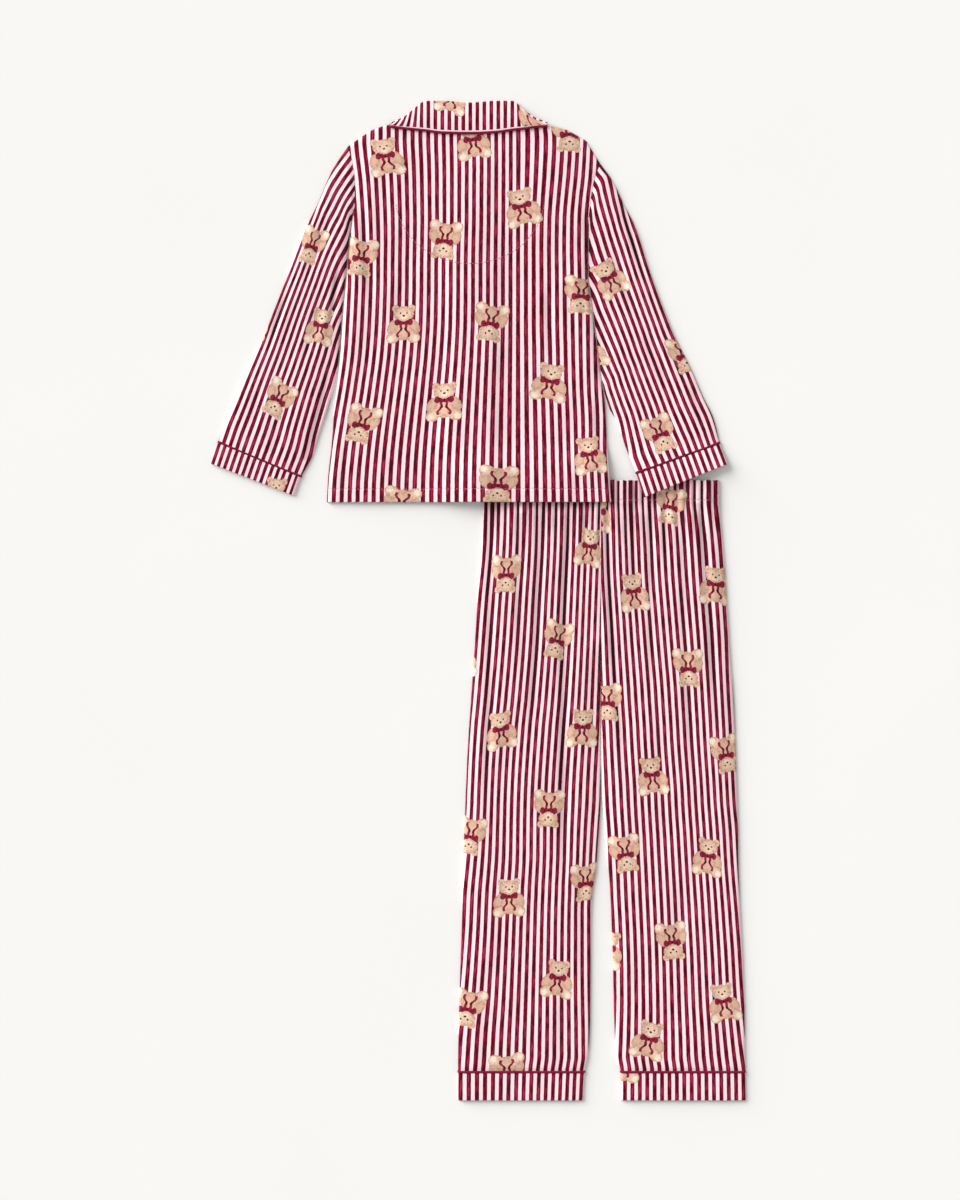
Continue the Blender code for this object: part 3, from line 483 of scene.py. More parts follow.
def flat_tube(place, stations, columns, lower_shares, ground, height, thickness=WALL):
    """Face and back points of a tube pressed flat; a station maps shares to points across it."""
    share, inward, sine, cosine = [np.array(part, float) for part in zip(*columns)]
    lower = np.array(lower_shares, float)[::-1]
    outer, inner, plan = [], [], []
    for across in stations:
        x, drop = across(share, inward)
        floor, top = ground(x, drop), height(x, drop)
        below = across(lower, 0.0 * lower)
        level = ground(*below)
        into = across(share, inward + thickness * cosine)
        outer.append(np.concatenate([lay(place, x, drop, floor + top * sine), lay(place, *below, level)]))
        inner.append(np.concatenate([lay(place, *into, floor + thickness + (top - 2 * thickness) * sine),
                                     lay(place, *below, level + thickness)]))
        plan.append(np.concatenate([np.stack([x, drop], -1), np.stack(below, -1)]))
    return np.array(outer), np.array(inner), np.array(plan)


def ring_chart(across, along, upper_count):
    """Cloth coordinates round a flattened tube: past its far edge they go on and don't come back."""
    far = across[:, upper_count - 1:upper_count]
    across = np.hstack([across[:, :upper_count], 2 * far - across[:, upper_count:], 2 * far - across[:, :1]])
    return cloth_chart(across, np.hstack([along, along[:, :1]]))


BODY = "root"


def stands_for(piece, node):
    """Let a piece ride on the part's body in place of its solid, and say how far the two differ."""
    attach(piece, BODY)
    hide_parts(node)
    low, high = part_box(node)
    points = np.zeros(len(piece.data.vertices) * 3)
    piece.data.vertices.foreach_get("co", points)
    points = points.reshape(-1, 3)
    proud = max(np.max(np.array(low) - points.min(0)), np.max(points.max(0) - np.array(high)))
    area = sum(face.area for face in piece.data.polygons) / 2
    print("%-24s %6d faces, %.4f m2 of cloth, %.1f mm past its solid" % (
        piece.name, len(piece.data.polygons), area, proud / MM))
    return piece

# %% [markdown]
# ## The back of the top
#
# The back is one wide panel from hem to shoulders. It lies on the two fronts, so its sides and its
# shoulders turn down round them. It could be a grid pushed into shape by modifiers, but then its outline
# would have to be trimmed. A grid whose rows and columns follow the cutting lines needs no trimming, and
# the neighbours can be made from the same lines. Along the armholes the cloth sinks a little into the
# seam, and at the hem it is turned in and stitched.

# %% The lines of the back
HEM_TURN = 15.0       # depth of the turned hem
SEAM_DIP, SEAM_REACH = 0.7, 2.6   # how deep cloth sinks into a seam, and how far from it
FULLNESS = 1.6        # how much air lies under the back where nothing holds it down
SIDE_RISE = 1.5       # how much higher the back's sides stand where the sleeves are tucked against them
NECK_BLEND = 12.0     # over what length the shoulders' turn starts beside the neck


def top_side(side, drop):
    """x of the top's left (1) or right (2) side."""
    return read(TOP_LEFT if side == 1 else TOP_RIGHT, 1, drop)


def shoulder_lean(x):
    """How many millimetres of drop make one millimetre square to the shoulder line."""
    x = np.clip(x, SHOULDER_LINE[0][0] + 3, SHOULDER_LINE[-1][0] - 3)
    return np.hypot(1.0, (straight(SHOULDER_LINE, x + 3) - straight(SHOULDER_LINE, x - 3)) / 6)


def back_plan(share, inward, share_up, down):
    """A point of the back: share across it from the left, share up it from the hem."""
    x = between(SHOULDER_LINE[0][0], SHOULDER_LINE[-1][0], share) + inward
    drop = between(HEM_DROP, straight(SHOULDER_LINE, x), share_up) + down * shoulder_lean(x)
    return between(top_side(1, drop), top_side(2, drop), share) + inward, drop


def back_side_turn(share, share_up):
    """The back turns down at its sides below the armholes, and is sewn level to the sleeves above."""
    return 1 - ramp(UNDERARM - ARMHOLE_BLEND, UNDERARM, share_up) + 0 * share


def back_end_turn(x, share_up):
    """The back turns down along its shoulders, and not at its neck or hem."""
    return ramp(NECK_HALF_WIDTH, NECK_HALF_WIDTH + NECK_BLEND, np.abs(x)) * (share_up > UNDERARM)


# %% How high the back lies on the fronts
def settled(room):
    """Height of an upper layer with this much air under it; a trough never sinks into what is below."""
    return 2 * WALL + (room + np.sqrt(room * room + 0.5)) / 2


def top_height(x, drop):
    """How high the back stands over what it lies on, with its hem, creases and ripples."""
    left, right = top_side(1, drop), top_side(2, drop)
    share = np.clip((x - left) / (right - left), 0.0, 1.0)
    from_side = np.minimum(x - left, right - x)
    below_arm = ramp(110, 150, drop)
    free = between(1.0, ramp(0, 15, from_side), below_arm) * ramp(10, 42, drop - straight(SHOULDER_LINE, x))
    free = free * between(0.45, 1.0, ramp(0, 40, HEM_DROP - drop))
    crown = 4 * share * (1 - share) * ramp(60, 150, drop)
    seam = SEAM_DIP * np.exp(-(from_side / SEAM_REACH) ** 2) * (1 - below_arm)
    up = HEM_DROP - drop
    hem = 0.6 * ramp(HEM_TURN + 1.2, HEM_TURN - 1.2, up) - 0.5 * np.exp(-((up - HEM_TURN) / 1.0) ** 2)
    beside = SIDE_RISE * ramp(1, 6, from_side) * (1 - ramp(10, 34, from_side)) * below_arm
    beside = beside * (1 - ramp(300, 360, drop))
    room = AIR + crown + free * (FULLNESS + ripple_height(x, drop)) - seam + beside
    return settled(room + np.minimum(free + 0.25, 1.0) * crease_height(TOP_CREASES, x, drop)) + hem


# %% Rows and columns of the back
BACK_LENGTH = HEM_DROP - SHOULDER_LINE[4][1]
ROW_STEP = 2.4 / BACK_LENGTH
hem_rows = np.concatenate([np.arange(0, 13, 2.0), np.arange(13.2, 18.6, 0.45)]) / BACK_LENGTH
body_rows = np.arange(hem_rows[-1] + ROW_STEP, UNDERARM - 0.002, ROW_STEP)
shoulder_rows = np.linspace(UNDERARM, 0.985, 34)
turns = np.radians(np.linspace(90, 0, 6))
TOP_ROWS = [(share_up, 0.0, 1.0, 0.0) for share_up in (*hem_rows, *body_rows, *shoulder_rows)]
TOP_ROWS += [(1.0, EDGE_RADIUS * (1 - math.cos(a)), math.sin(a), math.cos(a)) for a in turns]
back_columns = edge_columns(fine_shares(SHOULDER_LINE[-1][0] - SHOULDER_LINE[0][0]))
print("back:", len(TOP_ROWS), "rows of", len(back_columns), "points")

# %% [markdown]
# The stripes run down the cloth, but a laid garment is never quite square: they stand a little closer
# together round the waist than at the hem. The cloth chart keeps that: it says, for each height, how
# wide one pair of stripes lies there.

# %% The back's cloth chart and mesh
STRIPE_START = 57.2   # x of a burgundy stripe that runs straight down
REACH_LEFT, REACH_RIGHT = 204.8, 84.1   # from that stripe to the two sides at the waist
# drop, width of a pair of stripes left of that stripe and right of it, and how many pairs the stripes
# between it and either side stand off an even spacing, times four
TOP_STRIPES = (
    (32, 9.29, 9.78, -1.66, -1.27), (48, 9.29, 10.01, -1.64, -1.44), (64, 9.23, 9.90, -1.57, -1.44),
    (80, 9.13, 9.79, -1.29, -1.25), (96, 9.03, 9.62, -0.92, -1.11), (120, 8.93, 9.28, -0.48, -0.86),
    (144, 8.85, 9.10, -0.14, -0.55), (176, 8.78, 9.11, 0.51, -0.33), (208, 8.78, 9.19, 0.73, -0.29),
    (264, 8.88, 9.31, 0.55, -0.17), (304, 9.00, 9.34, 1.00, -0.50), (344, 9.26, 9.45, 1.35, -0.63),
    (384, 9.59, 9.69, 1.40, -0.77), (424, 9.88, 9.75, 1.42, -1.08), (464, 10.07, 9.97, 1.26, -1.02),
    (482, 10.10, 10.08, 1.20, -0.95))
TOP_CHART_START = 62  # pairs of stripes between the chart's edge and the stripe above


def top_chart(x, drop, start=TOP_CHART_START):
    """Cloth coordinates of the top's panels: across the stripes, and up along them."""
    off = x - STRIPE_START
    width, bow = [np.where(off < 0, read(TOP_STRIPES, column, drop), read(TOP_STRIPES, column + 1, drop))
                  for column in (1, 3)]
    share = np.abs(off) / np.where(off < 0, REACH_LEFT, REACH_RIGHT)
    pairs = off / width + bow * share * (1 - share)
    return cloth_chart((start + pairs) * CLOTH_PITCH, HEM_DROP - drop)


face, under, back_x, back_drop = upper_panel(
    TOP, back_plan, TOP_ROWS, back_columns, under_back, top_height, back_side_turn, back_end_turn)
top_back = wall("cloth_back", face, under, top_chart(back_x, back_drop), rounded=("first",))
stands_for(top_back, "top_back")
# painted shade in the back's creases, on the slope away from the light
mark_painted_fold_shade(top_back, TOP, lambda x, drop: -crease_height(TOP_CREASES, x + PAINTED_SHADE_SHIFT, drop))

# %% [markdown]
# ## The two fronts
#
# They lie face down on the table under the back and lap at the middle, where the buttons are. Nothing of
# them shows from above, but their hems, sides and the open neck do from low down, so they get the same
# cloth. They are flat where they rest.


# %% The fronts
FRONT_CHARTS = (140, 173)   # pairs of stripes from the chart's edge to where each front's count starts


def front_plan(side, share, row):
    """A point of a front: share from the shoulder's side to the lap, share up it from the hem."""
    share_up, down = row
    tip = SHOULDER_LINE[0][0] if side == 1 else SHOULDER_LINE[-1][0]
    lap, inset = (PLACKET, FRONT_INSET) if side == 1 else (-PLACKET, -FRONT_INSET)
    x = between(tip, lap, share)
    scoop = np.maximum(0.0, 1 - (x / NECK_HALF_WIDTH) ** 2)
    top = straight(SHOULDER_LINE, x) + FRONT_NECK_DEPTH * scoop
    drop = between(HEM_DROP, top, share_up) + down * shoulder_lean(x)
    return between(top_side(side, drop) + inset * back_side_turn(0, share_up), lap, share), drop


def fine_front(name, side, ground, start):
    """One front as a flat wall, and the plan of its points."""
    share_up = np.concatenate([np.linspace(0, 0.98, 120), [1.0]])[:, None]
    down = np.where(share_up < 1.0, 0.0, FRONT_INSET)
    x, drop = front_plan(side, np.linspace(0, 1, 60)[None], (share_up, down))
    floor = ground(x, drop)
    made = wall(name, lay(TOP, x, drop, floor + WALL), lay(TOP, x, drop, floor),
                top_chart(-x, drop, start), rounded=("first",))
    return made, x, drop


front_left, front_left_x, front_left_drop = fine_front(
    "cloth_front_left", 1, under_front, FRONT_CHARTS[0])
front_right, front_right_x, front_right_drop = fine_front(
    "cloth_front_right", 2, under_lap, FRONT_CHARTS[1])
stands_for(front_left, "top_front_left")
stands_for(front_right, "top_front_right")

# %% [markdown]
# ## Sleeves
#
# A sleeve is one piece of cloth sewn into a tube, here pressed flat. Its first ring follows the armhole,
# and that curve fades out over the first third, until the rings are straight lines across the sleeve.
# Laid by hand it twists a little, so a table says, ring by ring, which stripe lies at its outer fold,
# which at its inner one, and how those between crowd.


# %% Paths in the plan
def path_steps(points):
    """How far along a path in the plan each of its points lies."""
    return np.concatenate([[0.0], np.cumsum(np.hypot(*np.diff(points, axis=0).T))])


def line_across(outer, inner):
    """A straight station of a tube from its outer edge to its inner edge."""
    length = math.dist(outer, inner)

    def point(share, inward):
        place = share + inward / length
        return between(outer[0], inner[0], place), between(outer[1], inner[1], place)
    return point


def armhole(side):
    """Points of the top's side from the shoulder's tip to the underarm."""
    share = 0.0 if side == 1 else 1.0
    rows = [row for row in TOP_ROWS if row[0] >= UNDERARM]
    return np.array([[float(value) for value in back_plan(share, 0.0, row[0], row[1])]
                     for row in reversed(rows)])


# %% Stations of a sleeve
SLEEVE_GRID = 1.5     # spacing of the points across it
HOLE_FADE = 3.0       # rows of the sleeve's table over which the armhole's curve fades out
SLEEVE_STEPS = np.concatenate([np.arange(0, 0.6, 0.06), np.arange(0.6, len(LEFT_SLEEVE), 0.075),
                               [len(LEFT_SLEEVE)]])   # in rows of the sleeve's table


def sleeve_rows(side, table):
    """The sleeve's table with the armhole in front: row number, outer x, outer drop, inner drop, gap."""
    hole = armhole(side)
    first = (0.0, hole[0][0], hole[0][1], hole[-1][1], SLIT)
    return [first] + [(float(place + 1),) + row for place, row in enumerate(table)]


def sleeve_stations(side, table):
    """The lines across a sleeve, from the armhole down, each a function of share and inset."""
    out = -1 if side == 1 else 1
    hole = armhole(side)
    steps = path_steps(hole)
    chord = line_across(hole[0], hole[-1])

    def first(share, inward):
        spot = share * steps[-1] + inward
        return np.interp(spot, steps, hole[:, 0]) + out * SEAM, np.interp(spot, steps, hole[:, 1])

    keyed, stations = sleeve_rows(side, table), [first]
    for step in SLEEVE_STEPS[1:-1]:
        inner_drop = read(keyed, 3, step)
        inner = (top_side(side, inner_drop) + out * read(keyed, 4, step), inner_drop)
        line = line_across((read(keyed, 1, step), read(keyed, 2, step)), inner)
        fade = 1 - ramp(0.0, HOLE_FADE, step)

        def station(share, inward, line=line, fade=fade):
            (x, drop), (x_0, drop_0), (x_1, drop_1) = (
                line(share, inward), chord(share, inward), first(share, inward))
            return x + fade * (x_1 - x_0 - out * SEAM), drop + fade * (drop_1 - drop_0)
        stations.append(station)
    return stations


# %% Cloth chart of a sleeve
# row of the sleeve's table, stripe at the outer fold and at the inner one, and how far the pairs between
# them crowd towards the outer fold
LEFT_SLEEVE_STRIPES = (
    (0, -0.28, 5.80, 0.20), (0.5, -0.22, 6.03, 0.20), (1, -0.05, 6.62, 0.06), (1.5, 0.14, 6.88, 0.08),
    (2, 0.15, 7.28, 0.16), (2.5, -0.13, 7.78, 0.19), (3, -0.36, 8.48, 0.18), (3.5, -0.38, 9.25, 0.18),
    (4, -0.34, 10.1, 0.15), (4.5, -0.25, 11.2, 0.08), (5, -0.25, 11.9, 0.08), (5.5, -0.25, 12.32, 0.08),
    (6, -0.35, 12.62, 0.09), (7, -0.63, 12.76, 0.06), (8, -0.71, 12.60, 0.01), (9, -0.62, 12.25, 0.0),
    (10, -0.84, 11.85, 0.0))
RIGHT_SLEEVE_STRIPES = (
    (0, 1.83, 6.55, 0.60), (0.3, 1.86, 6.50, 0.66), (0.6, 1.96, 6.58, 0.42), (0.85, 1.76, 6.74, 0.24),
    (1.2, 1.43, 7.02, 0.16), (1.6, 0.95, 7.27, 0.19), (2, 0.60, 7.58, 0.18), (2.5, 0.0, 7.88, 0.21),
    (3, -0.33, 8.43, 0.18), (3.5, -0.34, 9.30, 0.09), (4, -0.35, 10.0, 0.08), (4.5, -0.39, 10.85, 0.07),
    (5, -0.42, 11.7, 0.04), (5.5, -0.44, 12.45, -0.02), (6, -0.43, 13.0, -0.06), (7, -0.76, 13.05, -0.05),
    (8, -0.83, 12.5, -0.05), (9, -0.96, 12.0, 0.04), (9.5, -0.90, 11.62, 0.14), (10, -0.76, 11.6, 0.16))
UNDERARM_LEAD = 65.0  # how much further down the cloth the sleeve's underarm starts than its shoulder
SLEEVE_CHARTS = (210, 260)   # pairs of stripes from the chart's edge to where each sleeve's count starts


def sleeve_chart(side, table, stripes, steps, share, start):
    """Cloth coordinates at shares across each step of a sleeve."""
    out, keyed = (-1 if side == 1 else 1), sleeve_rows(side, table)
    fold = np.stack([read(keyed, 1, steps), read(keyed, 2, steps)], -1)
    inner_drop = read(keyed, 3, steps)
    under = np.stack([top_side(side, inner_drop) + out * read(keyed, 4, steps), inner_drop], -1)
    width = np.linalg.norm(under - fold, axis=-1)[:, None]
    share, inward = share
    share = share + inward / width
    bent = share + read(stripes, 3, steps)[:, None] * share * (1 - share)
    pairs = between(read(stripes, 1, steps)[:, None], read(stripes, 2, steps)[:, None], bent)
    down = between(path_steps(fold)[:, None], path_steps(under)[:, None] + UNDERARM_LEAD, share)
    return (start + pairs) * CLOTH_PITCH, -down


# %% The sleeves
BODY_SHADOW_DEPTH, BODY_SHADOW_REACH = 2.2, 6   # depth in a fold given to the painted shadow of the body on a sleeve beside it, and how far out it reaches


def make_sleeve(side, name, table, cuff_end, stripes, start):
    """A sleeve from its table; gives the piece, its plan and the line across its end for cuff and cord."""
    out = -1 if side == 1 else 1
    seam_ends = ((table[-1][0], table[-1][1]),
                 (top_side(side, table[-1][2]) + out * table[-1][3], table[-1][2]))
    cuff_ends = (cuff_end[0], cuff_end[1]), (cuff_end[2], cuff_end[3])

    def crossing(distance):
        share = distance / CUFF_DEPTH
        return line_across(*[[between(a, b, share) for a, b in zip(seam_end, end)]
                             for seam_end, end in zip(seam_ends, cuff_ends)])

    stations = sleeve_stations(side, table) + [crossing(-PIPING / 2 - SEAM)]
    columns = edge_columns(fine_shares(path_steps(armhole(side))[-1], SLEEVE_GRID))
    lower = np.linspace(0.04, 0.96, 14)
    seam_x, seam_drop = stations[0](*(np.array(part) for part in list(zip(*columns))[:2]))
    seam_height = top_height(seam_x - out * SEAM, seam_drop)

    def height(x, drop):
        share = np.array([column[0] + column[1] / 90 for column in columns])
        free = ramp(0, 0.2, share) * ramp(1, 0.74, share)
        own = settled(AIR + free * (2.0 + 0.8 * ripple_height(x + 400, drop))
                      + np.minimum(free + 0.3, 1.0) * crease_height(SLEEVE_CREASES, x, drop))
        from_seam = np.hypot(x - seam_x, drop - seam_drop)
        return between(seam_height, own, ramp(0, 11, from_seam))

    outer, inner, plan = flat_tube(TOP, stations, columns, lower, over_waist, height)
    shares = (np.concatenate([[column[0] for column in columns], lower[::-1]]),
              np.concatenate([[column[1] for column in columns], 0 * lower]))
    chart = ring_chart(*sleeve_chart(side, table, stripes, SLEEVE_STEPS, shares, start), len(columns))
    made = wall("cloth_sleeve_" + name, outer, inner, chart, ring=True)
    stands_for(made, "sleeve_" + name)

    # The sleeve's fold chart holds painted shade: the body's shadow on the sleeve beside it, and the shade in
    # the sleeve's creases on the slope away from the light.
    def tucked(x, drop):
        beside = ramp(110, 150, drop) * (1 - ramp(300, 350, drop))
        body_shadow = beside * np.exp(-((x - top_side(side, drop)) / BODY_SHADOW_REACH) ** 2)
        return BODY_SHADOW_DEPTH * body_shadow - crease_height(SLEEVE_CREASES, x + PAINTED_SHADE_SHIFT, drop)
    mark_painted_fold_shade(made, TOP, tucked)
    return made, plan, crossing


sleeve_left, sleeve_left_plan, left_crossing = make_sleeve(
    1, "left", LEFT_SLEEVE, LEFT_CUFF_END, LEFT_SLEEVE_STRIPES, SLEEVE_CHARTS[0])
sleeve_right, sleeve_right_plan, right_crossing = make_sleeve(
    2, "right", RIGHT_SLEEVE, RIGHT_CUFF_END, RIGHT_SLEEVE_STRIPES, SLEEVE_CHARTS[1])

# %% [markdown]
# ## Bands and piping
#
# Cuffs and hem bands are straight strips, folded in half and sewn on over a piping: a fine cord wrapped
# in a bias strip. The strips' stripes run straight to their seam. The cord stands a little proud of the
# cloth all round, and its bias wrapping shows as a fine slanting twist, so its chart runs along the cord
# and round it.


# %% A band of cloth round a flattened tube
def make_band(name, node, place, crossing, depth, ground, loft, start, pairs, bend=0.0):
    """A band from the piped seam to its turned edge; loft fills it, start and pairs place its stripes."""
    lower = np.linspace(0.04, 0.96, 24)
    columns = edge_columns(np.linspace(0.05, 0.95, 48))
    distances = np.concatenate([np.linspace(PIPING / 2 + SEAM, PIPING / 2 + 4, 5),
                                np.linspace(PIPING / 2 + 6, depth, 10)])
    stations = [crossing(distance) for distance in distances]
    share = np.array([column[0] + column[1] / 150 for column in columns])
    free = ramp(0, 0.12, share) * ramp(1, 0.88, share)
    tucked = [0.5 * math.exp(-((distance - PIPING / 2) / 2.0) ** 2) for distance in distances]
    heights = iter(tucked)

    def height(x, drop):
        wave = 0.5 * ripple_height(x * 1.6 + 90, drop * 0.7)
        return settled(AIR + free * (loft + wave) - next(heights)) + 0.35

    outer, inner, plan = flat_tube(place, stations, columns, lower, ground, height)
    shares = np.concatenate([share, lower[::-1]])[None] + 0 * distances[:, None]
    across = (start + pairs * (shares + bend * shares * (1 - shares))) * CLOTH_PITCH
    chart = ring_chart(across, -distances[:, None] + 0 * shares, len(columns))
    made = wall(name, outer, inner, chart, ring=True, rounded=("last",))
    stands_for(made, node)
    return made, plan


# %% A piping in a seam round a flattened tube
CORD_PROUD, CORD_OUT = 1.8, 0.9   # how far the cord stands up from the cloth, and out at its two sides
CORD_HALF = 1.45                  # half the cord's width; it bulges a little over its seam


def make_piping(name, node, place, crossing, ground):
    """A half-round cord all round the tube, in the seam that the crossing gives."""
    lower = np.linspace(0.03, 0.97, 30)
    columns = edge_columns(np.linspace(0.04, 0.96, 60))
    share, inward, sine, cosine = [np.array(part) for part in zip(*columns)]
    outer, inner, chart = [], [], []
    for angle in np.radians(np.linspace(180, 0, 9)):
        bulge = math.sin(angle)
        across = crossing(CORD_HALF * math.cos(angle))
        x, drop = across(share, inward - CORD_OUT * bulge * cosine)
        floor, top = ground(x, drop), 2 * WALL + AIR + 0.2 + CORD_PROUD * bulge
        below = across(lower[::-1], 0 * lower)
        level = ground(*below)
        into = across(share, inward + WALL * cosine)
        outer.append(np.concatenate([lay(place, x, drop, floor + top * sine), lay(place, *below, level)]))
        inner.append(np.concatenate([lay(place, *into, floor + WALL + AIR * sine),
                                     lay(place, *below, level + WALL)]))
        ring = np.concatenate([np.stack([x, drop], -1), np.stack(below, -1)])
        ring = np.concatenate([ring, ring[:1]])
        chart.append(cloth_chart(path_steps(ring), CORD_HALF * angle))
    made = wall(name, np.array(outer), np.array(inner), np.array(chart), ring=True)
    return stands_for(made, node)


# %% Cuffs
cuff_left, cuff_left_plan = make_band(
    "cloth_cuff_left", "cuff_left", TOP, left_crossing, CUFF_DEPTH, over_waist,
    loft=0.8, start=299.72, pairs=13.9)
cuff_right, cuff_right_plan = make_band(
    "cloth_cuff_right", "cuff_right", TOP, right_crossing, CUFF_DEPTH, over_waist,
    loft=0.8, start=340.6, pairs=13.3)
make_piping("cord_cuff_left", "cuff_piping_left", TOP, left_crossing, over_waist)
make_piping("cord_cuff_right", "cuff_piping_right", TOP, right_crossing, over_waist)

# %% [markdown]
# ## Collar
#
# The back of the collar rises from the neck seam as a stand, folds over, and falls back onto the top.
# Its profile is one line of points: along the fall, round the fold and down the stand. That line is
# swept along the neck. Its two front leaves lie under the fronts.


# %% The collar
COLLAR_STRIPE = 8.4   # width of a pair of stripes on the collar
PALE_EDGE = 0.962     # share of the fall where a plain pale edge begins, beside the piping
COLLAR_CHART = 400    # pairs of stripes from the chart's edge to the collar's middle


def make_collar():
    """The back of the collar; gives the piece, the path of its cord and its cut without the pale edge."""
    fold_radius = COLLAR_PLY + SEAM / 2
    seam_level = BUTTON_ROOM + WALL + AIR + fold_radius
    outer, inner, chart, edge = [], [], [], []
    stations = np.linspace(0, 1, 121)
    middle = len(stations) // 2
    pale = np.linspace(1.0, PALE_EDGE, 3)
    fall_shares = [*pale, *np.linspace(PALE_EDGE - 0.004, 0.0, 18)[:-1]]
    necks = np.array([[read(COLLAR, column, place) for column in (1, 2, 3, 4, 5, 6)] for place in stations])
    along_edge, along_fold = path_steps(necks[:, 2:4]), path_steps(necks[:, 0:2])
    for place, row, at_edge, at_fold in zip(stations, necks, along_edge, along_fold):
        fold, free, neck = row[0:2], row[2:4], row[4:6]
        fall, stand = np.linalg.norm(free - fold), np.linalg.norm(neck - fold)
        fall_way, stand_way = (free - fold) / fall, (neck - fold) / stand
        sag = COLLAR_SAG * min(1.0, stand / COLLAR_STAND)
        low, high, cloth = [], [], []

        def level(distance):
            droop = sag * (1 - ramp(0, stand, distance))
            return seam_level - droop - COLLAR_SETTLE * ramp(stand, stand + COLLAR_EASE, distance)

        for share in fall_shares:
            distance = between(fold_radius, fall, share)
            x, drop = fold + fall_way * distance
            wave = 0.25 * math.sin(place * 31 + share) * share * (1 - share)
            puff = 0.35 * math.sin(math.pi * share) + wave
            high.append(lay(TOP, x, drop, level(distance) + fold_radius + puff))
            low.append(lay(TOP, x, drop, level(distance) + SEAM / 2))
            cloth.append((between(at_fold, at_edge, share), distance))
        for angle in np.radians(np.arange(0, 181, 22.5)):
            for grid, radius in ((high, fold_radius), (low, SEAM / 2)):
                x, drop = fold + (fall_way + stand_way) / 2 * (fold_radius - radius * math.sin(angle))
                grid.append(lay(TOP, x, drop, level(fold_radius) + radius * math.cos(angle)))
            cloth.append((at_fold, -angle * fold_radius))
        for share in np.linspace(0.12, 1.0, 9):
            distance = between(fold_radius, stand, share)
            x, drop = fold + stand_way * distance
            high.append(lay(TOP, x, drop, level(distance) - fold_radius))
            low.append(lay(TOP, x, drop, level(distance) - SEAM / 2))
            cloth.append((at_fold, -math.pi * fold_radius - distance))
        outer.append(high)
        inner.append(low)
        chart.append(cloth)
        out = free + fall_way * (SEAM + PIPING / 2)
        edge.append(lay(TOP, *out, level(fall) + SEAM / 2 + COLLAR_PLY / 2 + COLLAR_EDGE_LIFT))
    chart = np.array(chart)
    chart[..., 0] = (COLLAR_CHART + (chart[..., 0] - chart[middle, :, 0]) / COLLAR_STRIPE) * CLOTH_PITCH
    edged = chart.copy()
    edged[:, :len(pale), 0] = (COLLAR_CHART + 0.5) * CLOTH_PITCH
    made = wall("cloth_collar", np.array(outer), np.array(inner), edged, rounded=("first", "last"))
    return stands_for(made, "collar_back"), np.array(edge), chart


collar, collar_edge, collar_cut = make_collar()


# %% The collar's piping
def round_cord(name, path, radius, sides=14):
    """A round cord along an open path, with domed ends and a chart along it and round it."""
    ahead = np.gradient(path, axis=0)
    ahead = ahead / np.linalg.norm(ahead, axis=1, keepdims=True)
    across = np.stack([-ahead[:, 1], ahead[:, 0], 0 * ahead[:, 0]], -1)
    across = across / np.linalg.norm(across, axis=1, keepdims=True)
    up = np.cross(ahead, across)
    sizes = np.concatenate([[0.35, 0.8], np.ones(len(path) - 4), [0.8, 0.35]])[:, None, None]
    angles = np.linspace(0, 2 * math.pi, sides, endpoint=False)
    round_it = across[:, None] * np.cos(angles)[None, :, None] + up[:, None] * np.sin(angles)[None, :, None]
    outer = path[:, None] + radius * sizes * round_it
    inner = path[:, None] + radius * 0.3 * sizes * round_it
    steps = np.concatenate([[0.0], np.cumsum(np.linalg.norm(np.diff(path, axis=0), axis=1))])
    chart = cloth_chart(steps[:, None], np.append(angles, 2 * math.pi)[None] * radius)
    return wall(name, outer, inner, chart, ring=True)


stands_for(round_cord("cord_collar", collar_edge, CORD_HALF + 0.1), "collar_piping")


# %% The collar's front leaves
LEAF_CHARTS = (460, 480)   # pairs of stripes from the chart's edge to the top's centre line, by leaf


def make_leaf(name, node, mirror, start):
    """A front leaf of the collar as a flat wall between its four corners, and its plan."""
    a, b, c, d = [np.array((mirror * x, drop), float) for x, drop in COLLAR_LEAF]
    share, up = np.meshgrid(np.linspace(0, 1, 34), np.linspace(0, 1, 30))
    share, up = share[..., None], up[..., None]
    points = between(between(a, b, share), between(d, c, share), up)
    x, drop = points[..., 0], points[..., 1]
    chart = cloth_chart(start * CLOTH_PITCH + x, -drop)
    made = wall(name, lay(TOP, x, drop, COLLAR_PLY), lay(TOP, x, drop, 0.0), chart, rounded=("first", "last"))
    return stands_for(made, node), (x, drop)


leaf_left, leaf_left_plan = make_leaf("cloth_leaf_left", "collar_front_left", 1, LEAF_CHARTS[0])
leaf_right, leaf_right_plan = make_leaf("cloth_leaf_right", "collar_front_right", -1, LEAF_CHARTS[1])

# %% [markdown]
# ## Buttons
#
# Five small shirt buttons close the fronts, underneath. A shirt button is turned from a flat disc: a
# raised rim, a shallow dish, and four holes drilled through it. So it starts as a disc, its upper face is
# inset and pushed down, its edges are bevelled, and four pins cut the holes. It is made once and copied.


# %% One button
RIM, DISH_STEP, DISH = 1.3, 0.8, 0.5   # width of the rim and of the slope inside it, depth of the dish
HOLE_RADIUS, HOLE_OFF = 0.75, 1.6      # and how far a hole's middle lies from the button's
BUTTON_BEVEL = 0.22


def nothing_selected():
    if bpy.context.mode != "OBJECT":
        bpy.ops.object.mode_set(mode="OBJECT")
    bpy.ops.object.select_all(action="DESELECT")


